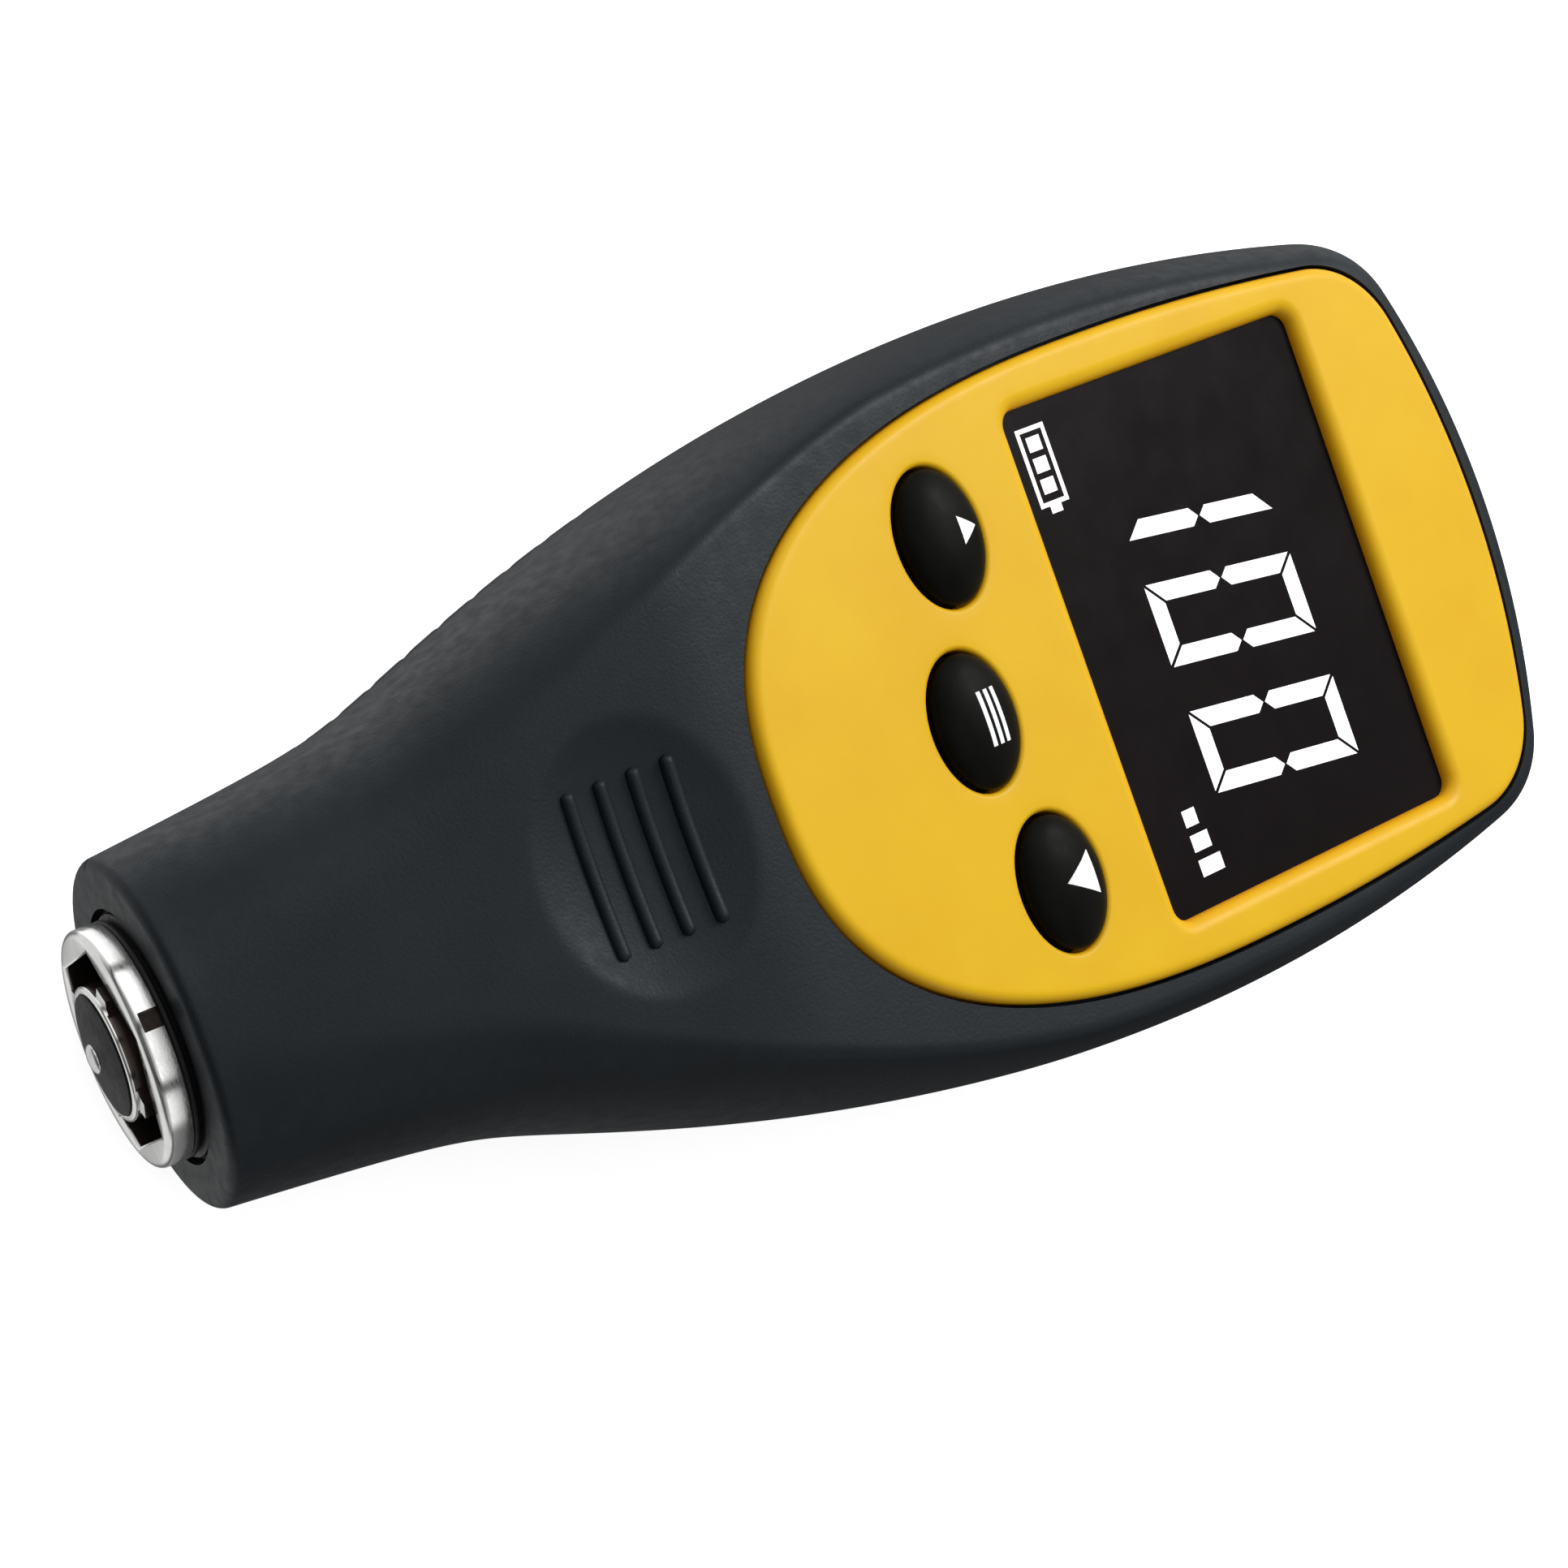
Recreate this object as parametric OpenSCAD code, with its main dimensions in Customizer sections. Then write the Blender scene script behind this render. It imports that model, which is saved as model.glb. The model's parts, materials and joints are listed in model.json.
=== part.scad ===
// Hand-held coating thickness gauge, lying on its back.
// X runs across the display, Y from the probe to the head, Z up out of the display side.
// Stations named *_s are measured from the front of the probe ring toward the head.

/* [Body] */
// Length from the probe tip to the head end
len_total = 113.3; // [111:0.1:117]
// Width of the case beside the faceplate
case_side = 4; // [3.7:0.1:4.8]
// Reach of the head end from the display centre
head_reach = 28.4; // [28.2:0.1:30]
// Height of the probe axis above the back
axis_h = 11.6; // [11.4:0.1:12.4]
// Width of the nose at its face
nose_w = 23.4; // [23:0.1:25]
// Flare of the nose for each millimetre of length
nose_flare = 0.1; // [0.08:0.01:0.13]
// Rise of the neck for each millimetre of length
neck_rise = 0.09; // [0.07:0.005:0.1]
// Radius of the side line between neck and widest place
neck_r = 130; // [125:1:150]
// Radius of the side line between widest place and head
head_r = 125; // [110:1:140]
// Radius of the bow of the head end
end_r = 56; // [52:1:66]
// Radius of the head corners in plan
corner_r = 7.8; // [6.6:0.2:8.4]
// Rounding of the nose rim
rim_r = 0.7; // [0.5:0.1:1.5]
// Inset of the crease from the widest line beside the faceplate
crease_in = 2.6; // [2.4:0.1:2.7]
// Angle that the side falls away at the crease
crease_a = 24; // [12:1:34]
// Inset of the flat back from the widest line
back_in = 8; // [7:0.2:9]
// Fall of the parting line for each millimetre of length
split_fall = 0.032; // [0.026:0.001:0.036]
// Side wall thickness
wall = 1.8; // [1.6:0.1:2]
// Roof thickness under the top facet
roof = 3.4; // [3.2:0.1:3.6]
// Floor thickness over the back
floor_t = 3.6; // [3.4:0.1:4]

/* [Thumb dish] */
// Width of the dish
dish_w = 18.2; // [15:0.2:19]
// Length of the dish
dish_l = 14.6; // [12:0.2:15]
// Depth of the dish
dish_deep = 1.3; // [0.9:0.1:1.6]
// Distance of the dish from the display centre
dish_off = 49.3; // [48.5:0.1:50]
// Distance between the grip ribs
grip_pitch = 2.67; // [2.2:0.05:2.9]
// Length of a grip rib
grip_len = 11.3; // [8:0.1:12]
// Radius of a grip rib
grip_r = 0.5; // [0.35:0.05:0.6]

/* [Side grip] */
// Number of grooves on each side of the rear half
groove_n = 9; // [4:1:10]
// Distance between the grooves
groove_pitch = 3; // [2.4:0.1:3.2]
// Radius of a groove
groove_r = 0.8; // [0.6:0.1:1]
// Depth of a groove
groove_deep = 0.45; // [0.3:0.05:0.6]

/* [Faceplate] */
// Slope of the faceplate against the back
plate_tilt = 10; // [9:0.25:11]
// Width of the faceplate beside the window
plate_side = 3.44; // [3.2:0.01:3.6]
// Reach of the faceplate from the display centre toward the head
plate_up = 25.5; // [25:0.1:25.6]
// Reach of the faceplate from the display centre toward the probe
plate_down = 41.8; // [41:0.1:42.2]
// Radius of the faceplate's bow toward the head
plate_bow = 56; // [53:1:62]
// Radius of the faceplate's upper corners
plate_corner = 7.5; // [6.5:0.5:8.5]
// Height of the faceplate over the back at the display centre
plate_h = 19.33; // [19.2:0.01:19.6]
// Thickness of the faceplate
plate_t = 2; // [1.9:0.1:2.1]
// Rounding of the faceplate edge
plate_fillet = 0.8; // [0.5:0.1:1]
// Height of the faceplate over the case
plate_proud = 0.4; // [0.2:0.1:0.5]
// Joint between the faceplate and the case
plate_gap = 0.15; // [0.1:0.05:0.25]
// Width of the ledge under the faceplate rim
ledge = 1.2; // [1:0.1:1.3]

/* [Display] */
// Window width
win_w = 36.86; // [35:0.1:37]
// Window height
win_h = 27.95; // [26.5:0.1:28.1]
// Depth of the lens below the faceplate
win_deep = 1.1; // [0.9:0.05:1.2]
// Width of the rolled edge round the window
win_roll = 1.3; // [0.8:0.1:1.5]
// Straight wall between the rolled edge and the lens
win_wall = 0.1; // [0.05:0.05:0.3]
// Corner radius of the window
win_r = 1.2; // [0.6:0.1:1.8]
// Lens overlap behind the window edge
lens_lap = 0.6; // [0.4:0.05:0.65]
// Display panel thickness
panel_t = 1.6; // [1.4:0.1:1.7]
// Backlight thickness
light_t = 0.8; // [0.7:0.1:1]
// Circuit board thickness
board_t = 1; // [0.8:0.1:1.2]

/* [Keys] */
// Width of a key
key_w = 9.3; // [8.4:0.1:9.8]
// Length of a key
key_l = 6.6; // [6:0.1:7]
// Height of a key over the faceplate
key_up = 1.5; // [1.1:0.1:1.8]
// Gap round a key
key_gap = 0.25; // [0.2:0.05:0.3]
// Width of the key flange
key_lip = 0.7; // [0.5:0.1:0.8]
// Key travel
key_travel = 0.8; // [0.5:0.1:0.8]
// Sideways place of the outer keys
key_x = 12.2; // [12:0.1:12.8]
// Place of the outer keys below the display centre
key_y = 22.6; // [22.3:0.1:23]
// Place of the middle key below the outer keys
key_drop = 2.4; // [1.5:0.1:3]

/* [Probe] */
// Stand of the probe tip in front of the ring
stand = 1.6; // [1.5:0.05:1.8]
// Station of the nose face behind the ring front
face_s = 2.45; // [2.3:0.05:2.6]
// Outer radius of the probe ring
ring_r = 8; // [7.9:0.05:8.2]
// Distance of the six flats of the ring opening from the axis
mouth_r = 6.1; // [5.9:0.05:6.2]
// Depth of the ring opening
mouth_deep = 3.2; // [3.1:0.1:3.6]
// Thickness of the ring flange
flange_t = 1.9; // [1.7:0.05:2]
// Rounding of the ring's front edge
ring_round = 0.5; // [0.2:0.05:0.6]
// Radius of the ring neck
ring_neck_r = 7.6; // [7.4:0.05:7.65]
// Length of the ring
ring_len = 10; // [9:0.1:10.4]
// Outer radius of the probe sleeve
sleeve_r = 4.55; // [4.4:0.05:4.6]
// Wall of the probe sleeve
sleeve_wall = 0.5; // [0.4:0.05:0.6]
// Running clearance of the probe sleeve
run_gap = 0.05; // [0.03:0.01:0.08]
// Probe travel
probe_travel = 1.4; // [1.2:0.1:1.45]
// Stand of the probe sleeve in front of the ring
sleeve_up = 0.6; // [0.4:0.05:0.7]
// Radius of the probe tip
tip_r = 1; // [0.8:0.05:1.1]
// Wall of the probe housing
house_wall = 0.95; // [0.9:0.05:1]
// Station of the housing back
house_end = 23; // [22.6:0.1:23.2]

/* [Power] */
// Cell radius
cell_r = 5.25; // [5.1:0.05:5.25]
// Cell length with its cap
cell_len = 44.5; // [43.5:0.1:44.6]
// Distance between the cell axes
cell_pitch = 11; // [10.8:0.1:11]
// Station of the battery bay front wall
bay_s = 34; // [33:0.1:34.2]
// Thickness of the battery bay walls
bay_wall = 1.2; // [1:0.1:1.3]
// Width of the battery door
door_w = 24.6; // [24:0.2:25]
// Thickness of the battery door
door_t = 1.8; // [1.7:0.05:1.9]
// Gap round the battery door
door_gap = 0.25; // [0.2:0.05:0.3]

/* [Hidden] */
// Steps in the window's corners and rolled edge
win_n = 6;
// Height at which the rolled edge runs out above the top face
win_over = 0.05;
$fn = 64;

eps = 0.01;
big = 200;
y_ring = -len_total / 2 + stand;
head_s = len_total - stand;
wide_s = 0.68 * head_s;
plate_w = win_w + 2 * plate_side;
body_w = plate_w + 2 * case_side;
side_blend = 1.72;
top_blend = 0.8;
crease_run = 60;
back_run = 40;
nose_top = 2 * axis_h;

// Power
bay_in = 2 * cell_r + cell_pitch + 0.5;
plate_thick = 0.4;
cap_h = 1.2;
cap_r = 1.9;
contact_half = 4.4;
contact_rise = 4.2;
bay_len = cell_len + cap_h + 2 * plate_thick;
bay_end = bay_s + bay_len;
cell_z = door_t + door_gap + 0.55 + cell_r;
bay_top = cell_z + contact_rise;
door_s = bay_s - 1.6;
rail = 0.9;
rail_z0 = 0.6;
rail_z1 = 1.4;
rail_s = door_s + 6;
rail_end = head_s - 17.7;
pull_s = head_s - 27.7;
pull_pitch = 2.2;
groove_s = 19;

// Faceplate frame: the point of its top face over the display centre
disp_s = head_s - head_reach;
stack_t = plate_t + panel_t + light_t + board_t;
clear_z = cell_z + cell_r + 0.5 + stack_t / cos(plate_tilt) + (bay_end - disp_s) * tan(plate_tilt);
disp_z = max(plate_h, clear_z);
slope = tan(plate_tilt);
case_drop = plate_proud / cos(plate_tilt);

// Side line of the body, seen from above
function nose_line(s) = nose_w / 2 + nose_flare * (s - face_s);
function neck_arc(s) = body_w / 2 - neck_r + sqrt(neck_r * neck_r - pow(s - wide_s, 2));
function soft_max(a, b, k) = (a + b + sqrt(pow(a - b, 2) + k * k)) / 2;
function soft_min(a, b, k) = (a + b - sqrt(pow(a - b, 2) + k * k)) / 2;
function half_w(s) = soft_max(neck_arc(s), nose_line(s), side_blend);
function ramp(s, a, b) = min(1, max(0, (s - a) / (b - a)));
function ease(t) = t * t * (3 - 2 * t);

// Heights along the body
function split_z(s) = axis_h - split_fall * s;
function facet_z(s) = disp_z - case_drop - (s - disp_s) * slope;
function neck_z(s) = nose_top + neck_rise * (s - face_s);
function top_z(s) = soft_min(facet_z(s), neck_z(s), top_blend);

// Corner circle that touches a side arc and an end arc from inside, and the head's at an inset
side_c = [half_w(wide_s) - head_r, wide_s];
end_c = [0, head_s - end_r];
function corner_rad(e) = corner_r * corner_r / (corner_r + e);
function touch(c1, r1, c2, r2, r) =
    let (a = r1 - r, b = r2 - r, v = c1 - c2, l = norm(v),
        along = (b * b - a * a + l * l) / (2 * l), across = sqrt(b * b - along * along))
    c2 + v * along / l + [v[1], -v[0]] * across / l;
function corner_at(e) = touch(side_c, head_r - e, end_c, end_r - e, corner_rad(e));
function turn(p, c) = atan2(p[1] - c[1], p[0] - c[0]);
function polar(c, r, a) = [c[0] + r * cos(a), c[1] + r * sin(a)];

// Stations round one half of the outline: [kind, station or share, rim inset]
NECK = 0;
SIDE = 1;
CORNER = 2;
END = 3;
function shares(kind, n) = [for (i = [1:n]) [kind, i / n, 0]];
function head_ribs(n) = concat(shares(SIDE, n), shares(CORNER, n), shares(END, n));
function neck_ribs(s0, n) = [for (i = [0:n]) [NECK, s0 + (wide_s - s0) * i / n, 0]];
function rim_ribs(n) =
    [for (i = [0:n - 1]) let (a = 90 * i / n) [NECK, face_s + rim_r * (1 - cos(a)), rim_r * (1 - sin(a))]];

// Place of a station on the outline, moved in by e
function head_place(r, e) =
    let (c = corner_at(e), a0 = turn(c, side_c), a1 = turn(c, end_c))
    r[0] == SIDE ? polar(side_c, head_r - e, a0 * r[1]) :
    r[0] == CORNER ? polar(c, corner_rad(e), a0 + (a1 - a0) * r[1]) :
    polar(end_c, end_r - e, a1 + (90 - a1) * r[1]);
function place(r, e) = r[0] == NECK ? [half_w(r[1]) - r[2] - e, r[1]] : head_place(r, e);
function room(r, w) = r[0] == NECK ? half_w(r[1]) - r[2] - w - 0.6 : big;
function along_neck(r) = r[0] == NECK ? r[1] : big;

// Rib from the widest line up to the crease
function crease_d(r, w) = min(room(r, w),
    crease_in + (nose_w / 2 - crease_in) * pow(1 - ramp(along_neck(r), face_s, crease_run), 1.3));
function up_rib(r, w, drop, n) =
    let (d = crease_d(r, w), a0 = crease_a * ease(ramp(along_neck(r), 10, 48)),
        zs = split_z(place(r, w)[1]), zt = top_z(place(r, w + d)[1]) - drop - r[2])
    [for (k = [0:n]) let (a = 90 - (90 - a0) * k / n,
        e = d * (1 - (sin(a) - sin(a0)) / (1 - sin(a0))), p = place(r, w + e))
        [p[0], y_ring + p[1], zs + (zt - zs) * cos(a) / cos(a0)]];

// Rib from the widest line down to the flat back
function back_d(r, w) = min(room(r, w),
    back_in + (nose_w / 2 - back_in) * pow(1 - ramp(along_neck(r), face_s, back_run), 1.5));
function down_rib(r, w, lift, n) =
    let (d = back_d(r, w), zs = split_z(place(r, w)[1]), zb = lift + r[2])
    [for (k = [0:n]) let (a = 90 * k / n, p = place(r, w + d * (1 - cos(a))))
        [p[0], y_ring + p[1], zs + (zb - zs) * sin(a)]];

// Closed loft through the ribs of one half outline and their mirror images
function flip(rib) = [for (p = rib) [-p[0], p[1], p[2]]];
function both(h) = concat(h, [for (i = [len(h) - 2:-1:0]) flip(h[i])]);
function flat(v) = [for (a = v) for (b = a) b];
module loft(half, up) {
    all = both(half);
    m = len(all);
    n = len(half[0]);
    h = len(half);
    side = [for (i = [0:m - 2]) for (k = [0:n - 2])
        let (a = i * n + k, b = a + n) each [[a, a + 1, b + 1], [a, b + 1, b]]];
    lid = [for (i = [0:h - 2]) let (a = i * n + n - 1, c = (m - 1 - i) * n + n - 1)
        i == h - 2 ? [a, c, a + n] : [a, c, c - n, a + n]];
    base = [for (i = [0:h - 2]) let (a = i * n, c = (m - 1 - i) * n)
        i == h - 2 ? [a, a + n, c] : [a, a + n, c - n, c]];
    front = [concat([for (k = [0:n - 1]) (m - 1) * n + k], [for (k = [n - 1:-1:0]) k])];
    faces = concat(side, lid, base, front);
    polyhedron(flat(all), up ? faces : [for (f = faces) [for (i = [len(f) - 1:-1:0]) f[i]]]);
}

// Outer form of each half, and the hollow inside it
outer_half = concat(rim_ribs(4), neck_ribs(face_s + rim_r, 22), head_ribs(6));
hollow_s = 22;
hollow_half = concat(neck_ribs(hollow_s, 12), head_ribs(4));
module outer_up() loft([for (r = outer_half) up_rib(r, 0, 0, 9)], true);
module outer_down() loft([for (r = outer_half) down_rib(r, 0, 0, 8)], false);
function extend(rib, dz) = concat([[rib[0][0], rib[0][1], rib[0][2] + dz]], rib);
module hollow_up() loft([for (r = hollow_half) extend(up_rib(r, wall, roof, 5), -0.6)], true);
module hollow_down() loft([for (r = hollow_half) extend(down_rib(r, wall, floor_t, 5), 0.6)], false);

// Frames
module at_s(s, z = 0) translate([0, y_ring + s, z]) children();
module plate_frame() translate([0, y_ring + disp_s, disp_z]) rotate([-plate_tilt, 0, 0]) children();
module probe_axis() translate([0, y_ring, axis_h]) rotate([-90, 0, 0]) children();

// Faceplate outline: a superellipse toward the probe, arcs from the widest place to the head
plate_mid = -3.9;
plate_power = 2 / 2.55;
plate_arc = 190;
function plate_low(a, in) = [(plate_w / 2 - in) * pow(cos(a), plate_power),
    plate_mid - (plate_down + plate_mid - in) * pow(sin(a), plate_power)];
function plate_high(in, n) =
    let (c1 = [plate_w / 2 - plate_arc, plate_mid], c2 = [0, plate_up - plate_bow],
        c = touch(c1, plate_arc - in, c2, plate_bow - in, plate_corner - in),
        a0 = turn(c, c1), a1 = turn(c, c2))
    concat([for (i = [1:n]) polar(c1, plate_arc - in, a0 * i / n)],
        [for (i = [1:n]) polar(c, plate_corner - in, a0 + (a1 - a0) * i / n)],
        [for (i = [1:n]) polar(c2, plate_bow - in, a1 + (90 - a1) * i / n)]);
function plate_half(in) = concat([for (a = [90:-5:0]) plate_low(a, in)], plate_high(in, 7));
function plate_line(in) =
    let (h = plate_half(in)) concat(h, [for (i = [len(h) - 2:-1:1]) [-h[i][0], h[i][1]]]);
plate_n = len(plate_line(0));
module plate_area(in) polygon(plate_line(in));
module slab(z0, z1) translate([0, 0, z0]) linear_extrude(z1 - z0) children();
module box(x0, x1, y0, y1, z0, z1) translate([x0, y0, z0]) cube([x1 - x0, y1 - y0, z1 - z0]);
module rect(w, h) square([w, h], center = true);

// Stack under the faceplate, in its frame
z_under = -plate_t;
z_light = z_under - panel_t;
z_board = z_light - light_t;
z_back = z_board - board_t;
panel_w = win_w + 0.4;
panel_h = win_h + 0.4;
fit = 0.1;
holder_wall = 0.7;
light_in = 0.3;
strip_l = 1.8;
strip_in = 0.2;
strip_end = 2;
board_half = panel_w / 2 - 0.63;
board_top = panel_h / 2 + 1.2;
board_step = key_y + 3.4;
board_low = plate_down - 4.3;
board_nose = board_half / 2;
chip_w = 9;
chip_t = 1.2;
chip_at = [5, -11];
buzzer_r = 5;
buzzer_t = 2.2;
buzzer_at = [-9, -20];

// Keys
function key_pt(i) = [i * key_x, -key_y - (i == 0 ? key_drop : 0)];
module key_area(grow) polygon([for (i = [0:47]) let (a = 7.5 * i)
    [(key_w / 2 + grow) * cos(a), (key_l / 2 + grow) * sin(a)]]);
module at_key(i) translate([key_pt(i)[0], key_pt(i)[1], 0]) children();
key_seat = 0.3;
lip_t = 0.7;
dome_r = 2.4;
dome_t = z_under - key_seat - lip_t - key_travel - 0.3 - z_board;
frame_side = 1;
frame_end = 1.4;
frame_w = 2 * (key_x + key_w / 2 + key_lip + frame_side);
frame_l = key_l + key_drop + 2 * (key_lip + frame_end);

// Screw posts: sideways place and station
shoulder_s = wide_s - 10.8;
posts = [[half_w(shoulder_s) - 4.3, shoulder_s], [body_w / 2 - 7.3, head_s - 10]];
post_r = 2.6;
post_hole = 3;
screw_r = 0.9;
head_hole_r = 1.9;

// Probe
house_r = ring_neck_r + run_gap + house_wall;
bore_r = house_r + run_gap;
seal_len = 1.25;
seal_end = flange_t + seal_len;
collar_r = sleeve_r + 1.25;
collar_s = ring_len + 0.2;
collar_t = 1.2;
spring_s = collar_s + collar_t;
house_back = 2.4;
spring_end = house_end - house_back;
core_r = sleeve_r - sleeve_wall;
sleeve_s = -sleeve_up;
core_s = sleeve_s - 0.1;
tip_show = 0.35;
core_rise = stand - tip_show + core_s;
ear_r = sleeve_r + 0.9;
ear_w = 1.3;
ear_s = sleeve_s + 0.3;
slot_deep = 0.6;
slot_w = 1.3;
core_end = ring_len - 1;
coil_s = 3;
coil_in = tip_r + 0.85;
coil_out = core_r - 0.7;

module front_case() color([0.2, 0.22, 0.24]) {
    difference() {
        union() {
            difference() {
                outer_up();
                hollow_up();
            }
            for (p = posts) for (m = [-1, 1]) front_post(m * p[0], p[1]);
        }
        for (p = posts) for (m = [-1, 1]) at_s(p[1], 0) translate([m * p[0], 0, 0])
            cylinder(r = screw_r, h = split_z(p[1]) + post_hole);
        probe_axis() cylinder(r = bore_r, h = hollow_s + 2, $fn = 96);
        plate_frame() slab(-plate_t, 6) plate_area(-plate_gap);
        plate_frame() slab(-plate_t - 4, 0) plate_area(ledge);
        dish_frame() dish_cut();
    }
    dish_frame() for (i = [-1.5:1:1.5]) grip_rib(i * grip_pitch);
}

// Screw post that hangs from the front half, and the one that it meets on the rear half
module front_post(x, s) {
    z0 = split_z(s - post_r);
    z1 = min(top_z(s) - roof + 0.4, z0 + 6);
    at_s(s, z0) translate([x, 0, 0]) cylinder(r = post_r, h = z1 - z0);
}
module rear_post(x, s) at_s(s, floor_t - 0.2) translate([x, 0, 0])
    cylinder(r = post_r, h = split_z(s + post_r) - floor_t + 0.2);

// Thumb dish: a barrel surface whose two curvatures follow from width, length and depth
dish_s = disp_s - dish_off;
dish_rx = (dish_w * dish_w / 4 + dish_deep * dish_deep) / (2 * dish_deep);
dish_ry = (dish_l * dish_l / 4 + dish_deep * dish_deep) / (2 * dish_deep);
module dish_frame() at_s(dish_s, top_z(dish_s)) rotate([atan(neck_rise), 0, 0]) children();
module dish_cut() translate([0, 0, dish_ry - dish_deep]) rotate([0, 90, 0]) rotate_extrude($fn = 128)
    intersection() {
        translate([dish_ry - dish_rx, 0]) circle(dish_rx, $fn = 128);
        translate([0, -dish_w]) square([2 * dish_ry, 2 * dish_w]);
    }
module grip_rib(y) {
    z = dish_ry - dish_deep - sqrt(dish_ry * dish_ry - y * y) + dish_rx;
    a = asin(grip_len / 2 / dish_rx);
    translate([0, y, z]) rotate([90, 0, 0]) rotate([0, 0, -90 - a])
        rotate_extrude(angle = 2 * a) translate([dish_rx, 0]) circle(grip_r, $fn = 24);
}

module rear_case() color([0.19, 0.21, 0.23]) difference() {
    union() {
        difference() {
            outer_down();
            hollow_down();
        }
        at_s(0) box(-bay_in / 2 - bay_wall, bay_in / 2 + bay_wall,
            bay_s - bay_wall, bay_end + bay_wall, floor_t - 0.2, bay_top);
        for (p = posts) for (m = [-1, 1]) rear_post(m * p[0], p[1]);
    }
    probe_axis() cylinder(r = bore_r, h = hollow_s + 2, $fn = 96);
    door_space(door_gap);
    at_s(0) box(-bay_in / 2, bay_in / 2, bay_s, bay_end, 0, bay_top + 1);
    for (p = posts) for (m = [-1, 1]) at_s(p[1], -1) translate([m * p[0], 0, 0]) {
        cylinder(r = screw_r, h = big);
        cylinder(r = head_hole_r, h = 5);
    }
    for (i = [0:groove_n - 1]) for (m = [-1, 1]) side_groove(m, groove_s + i * groove_pitch);
}

module side_groove(m, s) at_s(s, -1)
    translate([m * (half_w(s) + groove_r - groove_deep), 0, 0])
        cylinder(r = groove_r, h = split_z(s) + 0.6, $fn = 24);

// Room for the battery door and its rails, open toward the head
module door_space(g) at_s(0) {
    box(-door_w / 2 - g, door_w / 2 + g, door_s - g, head_s + 5, -1, door_t + g);
    box(-door_w / 2 - rail - g, door_w / 2 + rail + g, rail_s - g, head_s + 5, rail_z0 - g, rail_z1 + g);
}

module battery_door() color([0.19, 0.21, 0.23]) difference() {
    intersection() {
        outer_down();
        at_s(0) union() {
            box(-door_w / 2, door_w / 2, door_s, head_s + 1, -1, door_t);
            box(-door_w / 2 - rail, door_w / 2 + rail, rail_s, rail_end, rail_z0, rail_z1);
        }
    }
    for (i = [0:3]) at_s(pull_s + pull_pitch * i, -0.25) rotate([0, 90, 0])
        cylinder(r = 0.6, h = door_w / 2 - 0.3, center = true, $fn = 24);
}

// Faceplate: outline lofted through its rounded edge
module plate_body() {
    n = plate_n;
    rows = concat([[0, z_under]],
        [for (a = [0:22.5:90]) [plate_fillet * (1 - cos(a)), plate_fillet * (sin(a) - 1)]]);
    m = len(rows);
    pts = [for (r = rows) for (p = plate_line(r[0])) [p[0], p[1], r[1]]];
    side = [for (j = [0:m - 2]) for (i = [0:n - 1])
        let (a = j * n + i, b = j * n + (i + 1) % n) each [[a, a + n, b], [b, a + n, b + n]]];
    ends = [[for (i = [0:n - 1]) i], [for (i = [n - 1:-1:0]) (m - 1) * n + i]];
    polyhedron(pts, concat(side, ends));
}

// Rounded window outline, grown by d
function win_line(d) = [for (k = [0:3]) for (i = [0:win_n])
    let (a = 90 * (k + i / win_n), side = 90 * k + 45)
    [sign(cos(side)) * (win_w / 2 - win_r) + (win_r + d) * cos(a),
    sign(sin(side)) * (win_h / 2 - win_r) + (win_r + d) * sin(a)]];

// Window: straight wall above the lens, then an edge rolled out to the top face
module window_cut() {
    rise = win_deep - win_wall;
    roll = [for (i = [0:win_n]) let (a = 90 * i / win_n)
        [win_roll * (1 - cos(a)), (rise + win_over) * sin(a) - rise]];
    rows = concat([[0, -win_deep - eps]], roll, [[win_roll, 1]]);
    n = 4 * (win_n + 1);
    m = len(rows);
    pts = [for (r = rows) for (p = win_line(r[0])) [p[0], p[1], r[1]]];
    side = [for (j = [0:m - 2]) for (i = [0:n - 1])
        let (a = j * n + i, b = j * n + (i + 1) % n) each [[a, a + n, b], [b, a + n, b + n]]];
    ends = [[for (i = [0:n - 1]) i], [for (i = [n - 1:-1:0]) (m - 1) * n + i]];
    polyhedron(pts, concat(side, ends));
}

module faceplate() color([0.93, 0.76, 0.18]) plate_frame() difference() {
    plate_body();
    window_cut();
    slab(z_under - 1, -win_deep) rect(win_w + 2 * lens_lap + 2 * fit, win_h + 2 * lens_lap + 2 * fit);
    for (i = [-1:1]) at_key(i) slab(z_under - 1, 1) key_area(key_gap);
}

module display_lens() color([0.12, 0.11, 0.12]) plate_frame()
    slab(z_under, -win_deep) rect(win_w + 2 * lens_lap, win_h + 2 * lens_lap);

module display_panel() color([0.16, 0.16, 0.18]) plate_frame()
    slab(z_light, z_under) rect(panel_w, panel_h);

module panel_holder() color([0.85, 0.85, 0.82]) plate_frame() difference() {
    slab(z_board, z_under) rect(panel_w + 2 * fit + 2 * holder_wall, panel_h + 2 * fit + 2 * holder_wall);
    slab(z_board - 1, z_under + 1) rect(panel_w + 2 * fit, panel_h + 2 * fit);
}

module backlight() color([0.95, 0.95, 0.92]) plate_frame()
    slab(z_board, z_light) translate([light_in - panel_w / 2, light_in - panel_h / 2])
        square([panel_w - 2 * light_in, panel_h - 2 * strip_l]);

module panel_connector() color([0.85, 0.45, 0.5]) plate_frame()
    slab(z_board, z_light) translate([0, panel_h / 2 - strip_in - strip_l / 2])
        rect(panel_w - 2 * strip_end, strip_l);

module keypad_frame() color([0.25, 0.25, 0.26]) plate_frame() difference() {
    slab(z_under - key_seat - lip_t - 0.4, z_under) intersection() {
        plate_area(ledge + 1.2);
        translate([0, -key_y - key_drop / 2]) rect(frame_w, frame_l);
    }
    for (i = [-1:1]) at_key(i) slab(z_under - 5, 1) key_area(key_lip + 0.3);
}

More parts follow.
